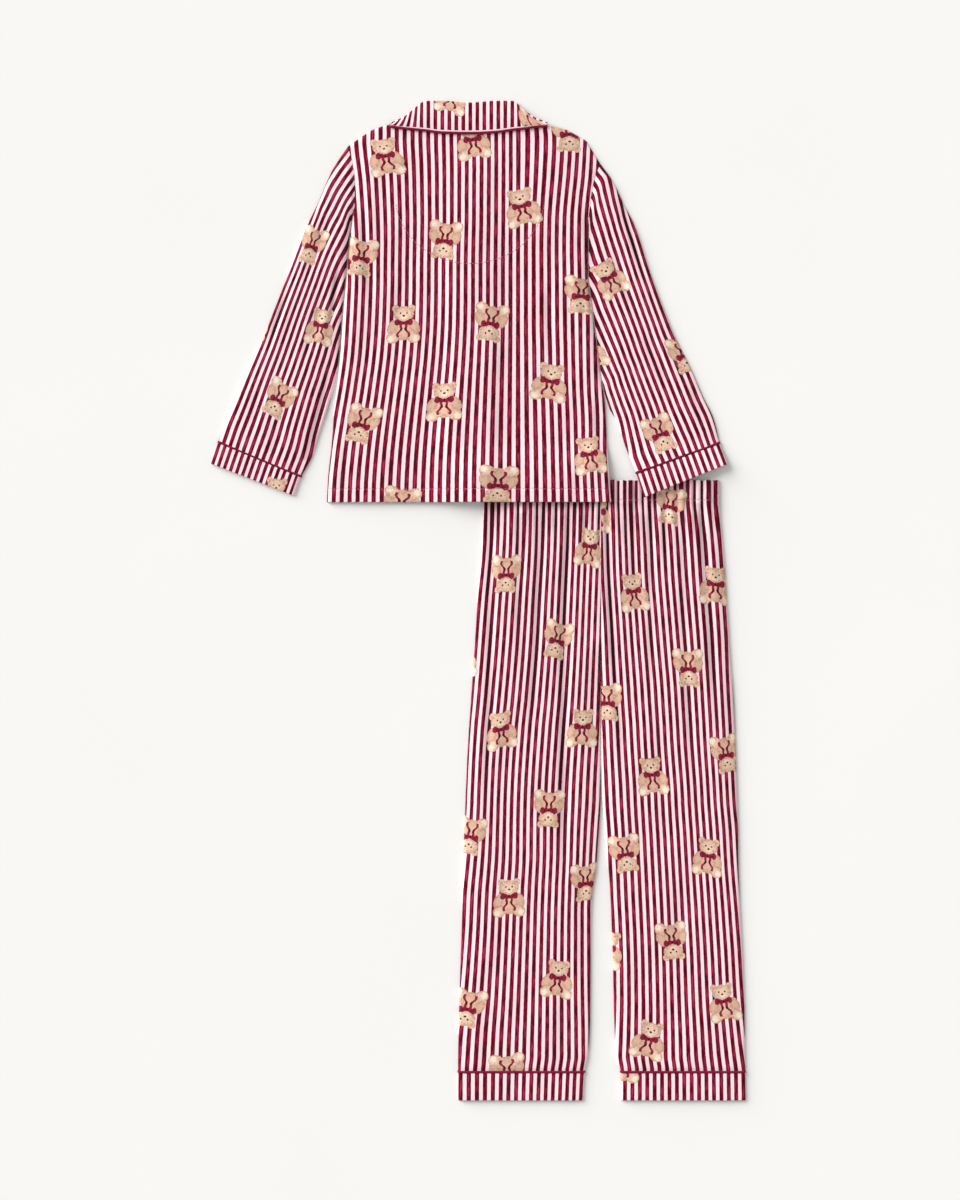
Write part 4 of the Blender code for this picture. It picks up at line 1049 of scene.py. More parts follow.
def turn_button():
    """A disc with a raised rim and a shallow dish."""
    nothing_selected()
    bpy.ops.mesh.primitive_cylinder_add(vertices=40, radius=BUTTON_RADIUS * MM, depth=BUTTON_HEIGHT * MM)
    disc = bpy.context.object
    bpy.ops.object.mode_set(mode="EDIT")
    bpy.ops.mesh.select_mode(type="FACE")
    bpy.ops.mesh.select_all(action="DESELECT")
    shape = bmesh.from_edit_mesh(disc.data)
    for face in shape.faces:
        face.select_set(face.normal.z > 0.9)
    bmesh.update_edit_mesh(disc.data)
    bpy.ops.mesh.inset(thickness=RIM * MM)
    bpy.ops.mesh.inset(thickness=DISH_STEP * MM)
    bpy.ops.transform.translate(value=(0, 0, -DISH * MM))
    bpy.ops.object.mode_set(mode="OBJECT")
    return disc


def drill(disc):
    """Cut four holes through the disc and round its edges."""
    pins = []
    for turn in (45, 135, 225, 315):
        nothing_selected()
        angle = math.radians(turn)
        bpy.ops.mesh.primitive_cylinder_add(
            vertices=16, radius=HOLE_RADIUS * MM, depth=4 * BUTTON_HEIGHT * MM,
            location=(HOLE_OFF * MM * math.cos(angle), HOLE_OFF * MM * math.sin(angle), 0))
        pins.append(bpy.context.object)
    nothing_selected()
    for pin in pins:
        pin.select_set(True)
    bpy.context.view_layer.objects.active = pins[0]
    bpy.ops.object.join()
    nothing_selected()
    disc.select_set(True)
    bpy.context.view_layer.objects.active = disc
    bpy.ops.object.modifier_add(type="BOOLEAN")
    disc.modifiers["Boolean"].object = pins[0]
    disc.modifiers["Boolean"].solver = "EXACT"
    bpy.ops.object.modifier_apply(modifier="Boolean")
    bpy.data.objects.remove(pins[0])
    bpy.ops.object.modifier_add(type="BEVEL")
    disc.modifiers["Bevel"].width = BUTTON_BEVEL * MM
    disc.modifiers["Bevel"].segments = 2
    disc.modifiers["Bevel"].limit_method = "ANGLE"
    bpy.ops.object.modifier_apply(modifier="Bevel")
    bpy.ops.object.shade_smooth_by_angle(angle=math.radians(35))
    return disc


button = drill(turn_button())
print("a button has", len(button.data.polygons), "faces")

# %% Five buttons, face down
for number in range(BUTTON_COUNT):
    disc = button.data.copy()
    centre = lay(TOP, 0.0, BUTTON_DROP + BUTTON_PITCH * number, BUTTON_HEIGHT / 2) * MM
    points = np.zeros(len(disc.vertices) * 3)
    disc.vertices.foreach_get("co", points)
    disc.vertices.foreach_set("co", (points.reshape(-1, 3) * (1, 1, -1) + centre).ravel())
    disc.flip_normals()
    made = bpy.data.objects.new("shirt_button_%d" % (number + 1), disc)
    bpy.context.scene.collection.objects.link(made)
    stands_for(made, "button_%d" % (number + 1))
bpy.data.objects.remove(button)

# %% [markdown]
# ## Trousers
#
# Each leg has a back, which is up, and a front, which rests on the table. The two backs meet in the
# centre seam down to the crotch, and below it their inner edges turn down too. The gathers of the
# waistband run out into the legs.


# %% Gathers of the waistband
def gather_phase(x):
    """How many gathers lie left of x; they are not quite evenly spaced."""
    share = (x - LEG_OUTER[0][1]) / (LEG_OUTER[0][2] - LEG_OUTER[0][1])
    return WAIST_GATHERS * share + 0.32 * np.sin(11.3 * share + 0.7) + 0.18 * np.sin(29.0 * share)


def gather(x):
    """From 0 to 1: the elastic draws the casing up in round folds with narrow valleys between them."""
    tall = 0.8 + 0.2 * np.sin(0.061 * x + 1.3)
    return tall * np.abs(np.sin(math.pi * gather_phase(x))) ** 0.8


def gather_reach(drop):
    """How much of the gathers is left this far down the legs."""
    return 1 - ramp(WAIST_DEPTH, WAIST_DEPTH + 80, drop)


# %% The waistband's height
CASING_DROP = 23.4    # the line of stitches under the elastic
GATHER_DEPTH = 2.9    # from the ridge of a gather to its valley
CASING_DIP = 0.6      # how deep the stitches pull the ridges in
CASING_WALL = 1.2     # one layer of the casing
SCALLOP = 1.7         # how far the top edge dips in a valley


def waist_height(x, drop):
    """How high the casing stands over the table."""
    stitched = CASING_DIP * np.exp(-((drop - CASING_DROP) / 1.2) ** 2)
    ridge = 2 * BAND_WALL + AIR - 0.2 + GATHER_RISE
    return ridge - GATHER_DEPTH * (1 - gather(x)) - stitched * gather(x)


# %% A leg
CROTCH_EASE = (-5, 25)   # from how far above the crotch to how far below it the two legs part


def leg_plan(side):
    """Points of the left (1) or right (2) leg, from its left edge to its right edge."""
    gap = SEAM / 2 + LEG_CLEARANCE

    def point(share, inward, share_up, down):
        drop = share_up + down
        outer, inner = read(LEG_OUTER, side, drop), read(LEG_INNER, side, drop)
        if side == 1:
            return between(outer, inner - gap, share) + inward, drop
        return between(inner + gap, outer, share) + inward, drop
    return point


def parted_at(drop):
    """From 0 above the crotch to 1 below it."""
    return ramp(CROTCH_DROP + CROTCH_EASE[0], CROTCH_DROP + CROTCH_EASE[1], drop)


def leg_side_turn(side):
    """Only the outer edge turns down above the crotch; below it the inner edge does too."""
    def turn(share, drop):
        outer_edge = (share < 0.5) == (side == 1)
        return np.where(outer_edge, 1.0, parted_at(drop))
    return turn


LEG_FULLNESS = 2.2    # how much higher the legs lie near the waist, where the gathers let them fill
LEG_SOFTNESS = 0.82   # of the creases' height on the legs


def leg_height(side):
    """How high a leg's back stands over the table, as a function of the place."""
    def height(x, drop):
        outer, inner = read(LEG_OUTER, side, drop), read(LEG_INNER, side, drop)
        from_outer, from_inner = np.abs(x - outer), np.abs(x - inner)
        parted = parted_at(drop)
        free = ramp(0, 22, from_outer) * between(1.0, ramp(0, 22, from_inner), parted)
        seam = SEAM_DIP * np.exp(-(from_inner / SEAM_REACH) ** 2) * (1 - parted)
        near, below = 1 - ramp(WAIST_DEPTH + 1, WAIST_DEPTH + 16, drop), gather_reach(drop)
        end = np.exp(-((LEG_SEAM_DROP - PIPING / 2 - drop) / 3.0) ** 2)
        full = 1.5 + LEG_FULLNESS * (1 - ramp(60, 560, drop))
        room = (AIR + 0.4 + free * (full + ripple_height(x + 230, drop + 70)) * (1 - 0.6 * end)
                + GATHER_DEPTH * below * (gather(x) - 0.6) - 0.5 * end - seam)
        creases = LEG_SOFTNESS * crease_height(LEG_CREASES, x, drop)
        own = settled(room + np.minimum(free + 0.25, 1.0) * (1 - end) * creases)
        return between(own, waist_height(x, WAIST_DEPTH), near)
    return height


# %% [markdown]
# The stripes of the two legs meet at the centre seam at a slant, because each leg is cut with its grain
# down the middle of the leg. Three numbers at a few heights say where they lie: the stripe at the left
# edge, the stripe at the right one, and how far those between crowd to one side.

# %% The legs
# drop, stripe at the left leg's left and right edges and how far those between crowd, and so on the right
LEG_STRIPES = (
    (27, -3.5, 15.25, -0.03, 0.05, 18.6, 0.11), (100, -3.4, 15.6, -0.05, -0.15, 18.45, 0.11),
    (180, -3.2, 16.0, -0.07, -0.70, 18.45, 0.07), (260, -3.1, 16.35, -0.03, -1.10, 18.8, -0.02),
    (300, -3.0, 16.5, 0.01, -1.43, 18.76, -0.02), (380, -3.0, 16.95, 0.04, -1.68, 18.6, -0.07),
    (420, -2.92, 17.05, 0.0, -1.61, 18.24, -0.05), (460, -2.65, 17.0, -0.06, -1.30, 18.02, -0.06),
    (500, -2.31, 16.5, -0.07, -1.15, 17.75, -0.05), (540, -2.22, 16.35, -0.06, -1.20, 17.57, -0.03),
    (620, -1.79, 16.16, -0.07, -1.12, 17.32, -0.02), (660, -1.32, 15.97, -0.09, -0.86, 16.88, -0.01),
    (708, -1.05, 15.5, -0.09, -0.20, 16.2, 0.02))
GATHER_PULL = 0.1         # pairs of stripes that the gathers draw together and spread
LEG_CHARTS = (510, 600)   # pairs of stripes from the chart's edge to where each leg's count starts


def leg_chart(side, x, drop, start):
    """Cloth coordinates of a leg: across its stripes, and up along them from the hem band's seam."""
    plan = leg_plan(side)
    left, right = plan(0.0, 0.0, drop, 0.0)[0], plan(1.0, 0.0, drop, 0.0)[0]
    share = (x - left) / (right - left)
    first, last, crowd = [read(LEG_STRIPES, 3 * side - 2 + column, drop) for column in range(3)]
    drawn = GATHER_PULL * gather_reach(drop) * np.sin(2 * math.pi * gather_phase(x))
    pairs = between(first, last, share + crowd * share * (1 - share)) + drawn
    return cloth_chart((start + pairs) * CLOTH_PITCH, LEG_SEAM_DROP - drop)


def gathered(x, drop):
    """How much painted shade a point of the trousers gets: in a gather's valley, over the casing, in a
    crease.
    """
    drawn = 1.9 * (1 - gather(x)) * (1 - ramp(WAIST_DEPTH, WAIST_DEPTH + 70, drop))
    # painted shade over the whole casing, fading out just below it
    casing = 0.6 * (1 - ramp(WAIST_DEPTH, WAIST_DEPTH + 12, drop))
    return drawn + casing - crease_height(LEG_CREASES, x + PAINTED_SHADE_SHIFT, drop)


def make_leg(side, name, start):
    """A leg's back and front, and the plans of their points."""
    plan, side_turn = leg_plan(side), leg_side_turn(side)
    last = LEG_SEAM_DROP - PIPING / 2 - SEAM
    drops = np.concatenate([np.linspace(WAIST_DEPTH + 0.1, 60, 18), np.arange(62.4, last - 5, 2.5),
                            np.linspace(last - 4, last, 5)])
    rows = [(drop, 0.0, 1.0, 0.0) for drop in drops]
    columns = edge_columns(fine_shares(150, 2.3))
    outer, inner, x, drop = upper_panel(TROUSERS, plan, rows, columns, floor_level, leg_height(side),
                                        side_turn, lambda x, share_up: 0.0 * x)
    back = wall("cloth_leg_back_" + name, outer, inner, leg_chart(side, x, drop, start))
    stands_for(back, "leg_%s_back" % name)
    # painted shade in the leg's gathers and creases
    mark_painted_fold_shade(back, TROUSERS, gathered)

    def front(share, drop):
        left, right = FRONT_INSET * side_turn(0.0, drop), FRONT_INSET * side_turn(1.0, drop)
        return plan(share, between(left, -right, share), drop, 0.0)
    outer, inner, front_x, front_drop = lower_panel(
        TROUSERS, front, drops[::3], np.linspace(0, 1, 40), floor_level)
    chart = leg_chart(side, -front_x + 2 * front_x.mean(), front_drop, start + 40)
    lower = wall("cloth_leg_front_" + name, outer, inner, chart)
    stands_for(lower, "leg_%s_front" % name)
    return back, lower, (x, drop), (front_x, front_drop)


leg_left, leg_left_front, leg_left_plan, leg_left_front_plan = make_leg(1, "left", LEG_CHARTS[0])
leg_right, leg_right_front, leg_right_plan, leg_right_front_plan = make_leg(2, "right", LEG_CHARTS[1])


# %% Hem bands and their piping
def leg_crossing(side):
    """The line across a leg at each distance from the hem band's seam."""
    plan = leg_plan(side)
    return lambda distance: (
        lambda share, inward: plan(share, inward, LEG_SEAM_DROP + distance + 0 * share, 0.0))


HEM_BAND_DEPTH = LEG_END_DROP - LEG_SEAM_DROP
band_left, band_left_plan = make_band(
    "cloth_hem_left", "hem_band_left", TROUSERS, leg_crossing(1), HEM_BAND_DEPTH, floor_level,
    loft=0.7, start=699.7, pairs=16.7, bend=-0.1)
band_right, band_right_plan = make_band(
    "cloth_hem_right", "hem_band_right", TROUSERS, leg_crossing(2), HEM_BAND_DEPTH, floor_level,
    loft=0.7, start=749.4, pairs=16.9)
make_piping("cord_hem_left", "hem_piping_left", TROUSERS, leg_crossing(1), floor_level)
make_piping("cord_hem_right", "hem_piping_right", TROUSERS, leg_crossing(2), floor_level)


# %% The waistband
def waist_chart(x, drop):
    """The casing is turned down from the legs' own cloth, so their stripes run on in it."""
    at_seam = np.full(x.shape, WAIST_DEPTH)
    left = leg_chart(1, np.minimum(x, 0.0), at_seam, LEG_CHARTS[0])[..., 0]
    right = leg_chart(2, np.maximum(x, 0.0), at_seam, LEG_CHARTS[1])[..., 0]
    return np.where(x < 0, left, right), LEG_SEAM_DROP - drop


def make_waistband():
    """The casing as one gathered tube, with a pair of columns at the centre where the stripes jump."""
    left, right = LEG_OUTER[0][1], LEG_OUTER[0][2]
    centre = -left / (right - left)
    shares = fine_shares(right - left, 1.3)
    at_centre = centre + np.array((-1, 1)) * 2e-5
    shares = np.sort(np.concatenate([shares[np.abs(shares - centre) > 0.001], at_centre]))
    columns, lower = edge_columns(shares), np.linspace(0.02, 0.98, 60)
    drops = np.concatenate([np.linspace(0, 3, 3), np.linspace(5, 21, 7), np.linspace(22, WAIST_DEPTH, 7)])

    def station(drop):
        def point(share, inward):
            x = between(read(LEG_OUTER, 1, drop), read(LEG_OUTER, 2, drop), share) + inward
            return x, drop + SCALLOP * (0.75 - gather(x)) * ramp(11, 0, drop)
        return point
    outer, inner, plan = flat_tube(
        TROUSERS, [station(drop) for drop in drops], columns, lower, floor_level, waist_height, CASING_WALL)
    chart = ring_chart(*waist_chart(plan[..., 0], plan[..., 1]), len(columns))
    made = wall("cloth_waistband", outer, inner, chart, ring=True, rounded=("first",))
    stands_for(made, "waistband")
    # painted shade in the casing's gathers
    mark_painted_fold_shade(made, TROUSERS, gathered)
    return made, plan


waistband, waistband_plan = make_waistband()

# %% [markdown]
# ## Stitching
#
# Three rows of stitches show from a step away: the top's hem, the half-moon of the back's facing below
# the neck, and the casing line under the elastic. Each stitch is a small pinched roll of thread that lies
# on the cloth. They are one mesh for each row, because hundreds of separate stitches would be slow.

# %% Rows of stitches
STITCH, STITCH_GAP, THREAD = 2.5, 1.1, 0.32   # length, gap and radius, mm
STITCH_RINGS = ((0.0, 0.25), (0.2, 1.0), (0.8, 1.0), (1.0, 0.25))   # share along a stitch, and its girth
THREAD_SIDES = 6


def sew(name, place, path, surface):
    """Stitches along a path in a garment's plan frame, on its surface."""
    path = np.array(path, float)
    steps = path_steps(path)
    starts = np.arange(0.5, steps[-1] - STITCH, STITCH + STITCH_GAP)
    turns = [math.radians(360 * side / THREAD_SIDES) for side in range(THREAD_SIDES)]
    shape = bmesh.new()
    for start in starts:
        rings = []
        for share, girth in STITCH_RINGS:
            spot = start + STITCH * share
            x, drop = [np.interp(spot, steps, path[:, axis]) for axis in (0, 1)]
            ahead = [np.interp(spot + 0.5, steps, path[:, axis]) - np.interp(spot - 0.5, steps, path[:, axis])
                     for axis in (0, 1)]
            across = np.array((ahead[1], ahead[0], 0.0)) / math.hypot(*ahead)
            middle = lay(place, x, drop, float(surface(x, drop)) + 0.1 * girth)
            rings.append([shape.verts.new((middle + THREAD * girth * (across * math.cos(a) + np.array(
                (0, 0, math.sin(a))))) * MM) for a in turns])
        for ring, following in zip(rings, rings[1:]):
            for side in range(THREAD_SIDES):
                after = (side + 1) % THREAD_SIDES
                shape.faces.new((ring[side], ring[after], following[after], following[side]))
        shape.faces.new(rings[0][::-1])
        shape.faces.new(rings[-1])
    mesh = bpy.data.meshes.new(name)
    shape.to_mesh(mesh)
    shape.free()
    made = outward(mesh)
    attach(made, BODY)
    print(name, len(starts), "stitches")


def top_surface(x, drop):
    """How high the back's face stands over the table."""
    return under_back(x, drop) + top_height(x, drop)


# %% Hem, half-moon and casing
MOON_X, MOON_DROP, MOON_HALF, MOON_DEPTH = -0.4, 114.0, 90.0, 82.8   # of the facing's half-moon
hem_drop = HEM_DROP - HEM_TURN
hem_ends = top_side(1, hem_drop) + 3, top_side(2, hem_drop) - 3
hem_path = [(x, hem_drop) for x in np.linspace(*hem_ends, 80)]
moon_path = [(MOON_X + MOON_HALF * math.cos(turn), MOON_DROP + MOON_DEPTH * math.sin(turn))
             for turn in np.radians(np.linspace(8, 172, 70))]
casing_path = [(x, CASING_DROP) for x in np.linspace(-137, 138, 80)]
sew("thread_hem", TOP, hem_path, top_surface)
sew("thread_half_moon", TOP, moon_path, top_surface)
sew("thread_casing", TROUSERS, casing_path, waist_height)

# %% [markdown]
# ## The sheets and their cut
#
# The size that each piece of cloth was cut to is printed. A flattened tube is counted all round.


# %% Printing the cut
def cut_size(x, drop, ring=False):
    """Width, length and area in metres of a piece's cut, from the plan of its points."""
    plan = np.stack([x, drop], -1) * MM
    if ring:
        plan = np.concatenate([plan, plan[:, :1]], axis=1)
    across, along = np.diff(plan, axis=1), np.diff(plan, axis=0)
    width = np.linalg.norm(across, axis=-1).sum(1).max()
    length = np.linalg.norm(along, axis=-1).sum(0).max()
    one, two = plan[1:, 1:] - plan[:-1, :-1], plan[1:, :-1] - plan[:-1, 1:]
    area = np.abs(one[..., 0] * two[..., 1] - one[..., 1] * two[..., 0]).sum() / 2
    return float(width), float(length), float(min(area, width * length))


def declare(piece, x, drop, rests_on, ring=False, held="laid"):
    width, length, area = cut_size(x, drop, ring)
    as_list(rests_on)
    print("%-24s cut %.3f x %.3f m, %.4f m2" % (piece.name, width, length, area))


def declare_tube(piece, plan, rests_on=(), held="laid"):
    declare(piece, plan[..., 0], plan[..., 1], rests_on, True, held)


# %% Every piece of cloth
declare(top_back, back_x, back_drop, [front_left.name, front_right.name])
declare(front_left, front_left_x, front_left_drop, [])
declare(front_right, front_right_x, front_right_drop, [front_left.name])
declare_tube(sleeve_left, sleeve_left_plan)
declare_tube(sleeve_right, sleeve_right_plan)
declare_tube(cuff_left, cuff_left_plan)
declare_tube(cuff_right, cuff_right_plan, [waistband.name])
declare(leg_left, *leg_left_plan, [leg_left_front.name])
declare(leg_right, *leg_right_plan, [leg_right_front.name])
declare(leg_left_front, *leg_left_front_plan, [])
declare(leg_right_front, *leg_right_front_plan, [])
declare_tube(band_left, band_left_plan)
declare_tube(band_right, band_right_plan)
declare_tube(waistband, waistband_plan, held="gathered")
declare(collar, collar_cut[..., 0] * COLLAR_STRIPE / CLOTH_PITCH, collar_cut[..., 1], [top_back.name],
        held="folded")
declare(leaf_left, *leaf_left_plan, [])
declare(leaf_right, *leaf_right_plan, [])

# %% [markdown]
# ## Finishes
#
# One function turns the hex value of a colour, as a dyer's card gives it, into the linear numbers that
# Blender wants. One adds a node with its settings, and one fills or links the inputs of a node.


# %% Colours and nodes
def dye(code):
    """A colour from its sRGB hex value."""
    values = [int(code[place:place + 2], 16) / 255 for place in (1, 3, 5)]
    linear = [value / 12.92 if value <= 0.04045 else ((value + 0.055) / 1.055) ** 2.4 for value in values]
    return (*linear, 1.0)


def fill(tree, node, inputs):
    """Give each named input of a node its value, or the link that feeds it."""
    for name, value in inputs.items():
        if isinstance(value, bpy.types.NodeSocket):
            tree.links.new(value, node.inputs[name])
        else:
            node.inputs[name].default_value = value


def put(tree, kind, inputs=(), **settings):
    """Add a node, set its properties, fill its inputs, and give its first output in use."""
    node = tree.nodes.new("ShaderNode" + kind)
    for name, value in settings.items():
        setattr(node, name, value)
    fill(tree, node, dict(inputs))
    return next(output for output in node.outputs if output.enabled)


def new_finish(name):
    """A material with its node tree and its shader."""
    made = bpy.data.materials.new(name)
    made.use_nodes = True
    return made, made.node_tree, made.node_tree.nodes["Principled BSDF"]


# %% [markdown]
# ### The print
#
# A candy stripe with a scatter of small seated teddy bears, each with a bow. The bears are drawn here
# from ovals, as for an appliqué: a body, a head, two of each ear, arm, leg and pad, and a bow with two
# loops and two tails. A pair is drawn once, on the distance from the bear's middle line. They stand in a
# half-drop repeat, every other one on its head, each a little turned and moved.

# %% The bear's parts
TAN, TAN_SHADE, TAN_LIGHT, MUZZLE, PAD = "#d9b199", "#b88f77", "#e3c1a9", "#e9cfb9", "#f0e0cf"
BOW, BOW_DARK, FEATURE = "#98203f", "#4a0e1c", "#35201c"
# paired, centre x and y, radius x and y, turn in degrees, colour at its middle and at its edge
BEAR = (
    (True, 11.2, 20.6, 4.9, 4.6, 0, TAN_LIGHT, TAN_SHADE),
    (True, 11.0, 20.2, 2.4, 2.2, 0, TAN_SHADE, TAN),
    (False, 0, -6.5, 15.4, 14.2, 0, TAN, TAN_SHADE),
    (True, 13.8, -16.4, 9.6, 7.8, -22, TAN_LIGHT, TAN_SHADE),
    (True, 17.0, -18.8, 4.6, 4.5, 0, PAD, TAN_LIGHT),
    (True, 15.2, -3.0, 6.2, 10.0, 30, TAN, TAN_SHADE),
    (False, 0, 13.4, 14.0, 10.2, 0, TAN_LIGHT, TAN_SHADE),
    (False, 0, 9.6, 4.6, 3.2, 0, MUZZLE, TAN_LIGHT),
    (False, 0, 11.2, 1.8, 1.3, 0, FEATURE, FEATURE),
    (True, 4.4, 14.6, 1.15, 1.2, 0, FEATURE, FEATURE),
    (True, 6.2, 2.8, 6.0, 3.0, 16, BOW, BOW_DARK),
    (True, 9.0, 2.9, 3.6, 4.3, 10, BOW, BOW_DARK),
    (True, 6.4, 2.7, 4.4, 0.8, 12, BOW_DARK, BOW),
    (False, 0, 1.9, 2.1, 2.4, 0, BOW_DARK, BOW))
BEAR_SIZE = 0.93                        # of the printed bear to the drawn one
CELL_WIDTH, CELL_LENGTH = 92.0, 122.0   # of the half-drop repeat
CELL_PLAY = (24.0, 32.0)                # how far a bear may lie from the middle of its cell, both ways
CELL_LEAN = math.radians(23)            # between the repeat's columns and the stripes
BEAR_TILT = 0.5                         # radians between the bears that lean most, either way
BEAR_FUZZ = 1.7                         # how far brushing moves a bear's outline, mm
TAIL_START, TAIL_LENGTH = 2.0, 19.0     # of the bow's ribbon ends
OVAL_EDGE = 0.35                        # softness of an oval's printed edge
FUR_DEPTH = 2.6                         # how much the fur's mottling moves the shade
FUR_SHADE = (1.55, 2.65)                # from where an oval darkens, to where it is darkest


def paint_oval(tree, spot, under, part, fur):
    """One oval of the bear over what is painted so far, darker towards its edge and mottled like fur."""
    _, x, y, wide, tall, turn, middle, edge = part
    place = put(tree, "Mapping", {
        "Vector": spot, "Location": (x, y, 0), "Rotation": (0, 0, math.radians(turn)),
        "Scale": (wide, tall, 1)}, vector_type="TEXTURE")
    reach = put(tree, "VectorMath", {0: place}, operation="LENGTH")
    shade = put(tree, "Math", {0: fur, 1: FUR_DEPTH, 2: reach}, operation="MULTIPLY_ADD")
    shade = put(tree, "MapRange", {0: shade, 1: FUR_SHADE[0], 2: FUR_SHADE[1]},
                interpolation_type="SMOOTHSTEP")
    colour = put(tree, "Mix", {0: shade, 6: dye(middle), 7: dye(edge)}, data_type="RGBA")
    soft = OVAL_EDGE / min(wide, tall)
    inside = put(tree, "MapRange", {0: reach, 1: 1 + soft, 2: 1 - soft}, interpolation_type="SMOOTHSTEP")
    return put(tree, "Mix", {0: inside, 6: under, 7: colour}, data_type="RGBA")


# %% The bow's tails
def paint_tails(tree, pair_spot, under):
    """Two wavy ribbon ends that hang from the knot."""
    part = put(tree, "SeparateXYZ", {0: pair_spot}).node
    down = put(tree, "Math", {0: TAIL_START, 1: part.outputs[1]}, operation="SUBTRACT")
    wave = put(tree, "Math", {0: down, 1: 0.55}, operation="MULTIPLY")
    wave = put(tree, "Math", {0: wave}, operation="SINE")
    lean = put(tree, "Math", {0: down, 1: 0.38, 2: 1.2}, operation="MULTIPLY_ADD")
    centre = put(tree, "Math", {0: wave, 1: 1.3, 2: lean}, operation="MULTIPLY_ADD")
    off = put(tree, "Math", {0: part.outputs[0], 1: centre}, operation="SUBTRACT")
    off = put(tree, "Math", {0: off}, operation="ABSOLUTE")
    across = put(tree, "MapRange", {0: off, 1: 2.1, 2: 1.5}, interpolation_type="SMOOTHSTEP")
    below = put(tree, "MapRange", {0: down, 1: 0.0, 2: 0.8})
    above = put(tree, "MapRange", {0: down, 1: TAIL_LENGTH, 2: TAIL_LENGTH - 0.8})
    inside = put(tree, "Math", {0: across, 1: below}, operation="MULTIPLY")
    inside = put(tree, "Math", {0: inside, 1: above}, operation="MULTIPLY")
    colour = put(tree, "MapRange", {0: wave, 1: -1.0, 2: 1.0})
    colour = put(tree, "Mix", {0: colour, 6: dye(BOW_DARK), 7: dye(BOW)}, data_type="RGBA")
    return put(tree, "Mix", {0: inside, 6: under, 7: colour}, data_type="RGBA")


# %% [markdown]
# ### Brushed cotton
#
# The cloth is a flannel: a cotton twill whose face is raised with wire brushes after printing. To the
# eye that gives a matt surface with a faint sheen at grazing angles, stripes with slightly furry edges,
# and burgundy that is paler wherever the white fibre has been brushed up through the print. Deep in a
# fold, shade is painted into the colour: the burgundy nearly black and the white a darker rose. A real
# twill line is 0.5 mm; it is drawn at 1.3 mm, because a finer one would not show.

# %% The cloth's chart in millimetres
# the fourth burgundy and the third white are painted shade, the colours they turn to deep in a fold
BURGUNDY, BURGUNDY_DEEP, BURGUNDY_WORN, BURGUNDY_PAINTED_SHADE = "#810727", "#520115", "#b22d51", "#3c0210"
WHITE, WHITE_SHADE, WHITE_PAINTED_SHADE = "#fbe3e7", "#f5d9de", "#dcb9c0"
STRIPE_EDGE = (0.251, 0.291)          # where burgundy ends and white starts, in pairs from its middle
WANDER = 0.6                          # of a printed line, mm
TWILL_PITCH, BIAS_PITCH = 1.3, 1.6    # of the lines on the flannel and on the piping, mm
BAND_UNIT = 0.314                     # spacing of a wave texture's bands at a scale of 1


def cloth_millimetres(tree):
    """The chart of a piece in millimetres of cloth, with the small wander of a printed line."""
    chart = put(tree, "UVMap", uv_map="cloth")
    plain = put(tree, "VectorMath", {0: chart, 3: 1 / MM}, operation="SCALE")
    wander = put(tree, "TexNoise", {"Vector": plain, "Scale": 0.16, "Detail": 2.0}).node
    off = put(tree, "VectorMath", {0: wander.outputs["Color"], 1: (0.5, 0.5, 0.5)}, operation="SUBTRACT")
    off = put(tree, "VectorMath", {0: off, 1: (WANDER, WANDER, 0.0)}, operation="MULTIPLY")
    return plain, put(tree, "VectorMath", {0: plain, 1: off}, operation="ADD")


def paint_stripes(tree, plain, spot):
    """Burgundy stripes, a little wider than the white ones between them, mottled along their length, with
    shade painted in along the folds.
    """
    across = put(tree, "SeparateXYZ", {0: spot})
    pairs = put(tree, "Math", {0: across, 1: CLOTH_PITCH}, operation="DIVIDE")
    nearest = put(tree, "Math", {0: pairs}, operation="ROUND")
    off = put(tree, "Math", {0: pairs, 1: nearest}, operation="SUBTRACT")
    off = put(tree, "Math", {0: off}, operation="ABSOLUTE")
    white = put(tree, "MapRange", {0: off, 1: STRIPE_EDGE[0], 2: STRIPE_EDGE[1]},
                interpolation_type="SMOOTHSTEP")
    streak_spot = put(tree, "Mapping", {"Vector": plain, "Scale": (0.34, 0.06, 1.0)})
    streak = put(tree, "TexNoise", {"Vector": streak_spot, "Scale": 1.0, "Detail": 3.0})
    worn = put(tree, "MapRange", {0: streak, 1: 0.42, 2: 0.72}, interpolation_type="SMOOTHSTEP")
    middle = put(tree, "MapRange", {0: off, 1: 0.19, 2: 0.05}, interpolation_type="SMOOTHSTEP")
    worn = put(tree, "Math", {0: worn, 1: middle}, operation="MULTIPLY")
    tone = put(tree, "MapRange", {0: streak, 1: 0.37, 2: 0.63})
    red = put(tree, "Mix", {0: tone, 6: dye(BURGUNDY_DEEP), 7: dye(BURGUNDY)}, data_type="RGBA")
    red = put(tree, "Mix", {0: worn, 6: red, 7: dye(BURGUNDY_WORN)}, data_type="RGBA")
    # painted shade: deep in a fold the burgundy goes nearly black and the white a darker rose
    fold = put(tree, "SeparateXYZ", {0: put(tree, "UVMap", uv_map="fold")})
    red = put(tree, "Mix", {0: fold, 6: red, 7: dye(BURGUNDY_PAINTED_SHADE)}, data_type="RGBA")
    pale = put(tree, "Mix", {0: streak, 6: dye(WHITE_SHADE), 7: dye(WHITE)}, data_type="RGBA")
    pale = put(tree, "Mix", {0: fold, 6: pale, 7: dye(WHITE_PAINTED_SHADE)}, data_type="RGBA")
    return put(tree, "Mix", {0: white, 6: red, 7: pale}, data_type="RGBA")


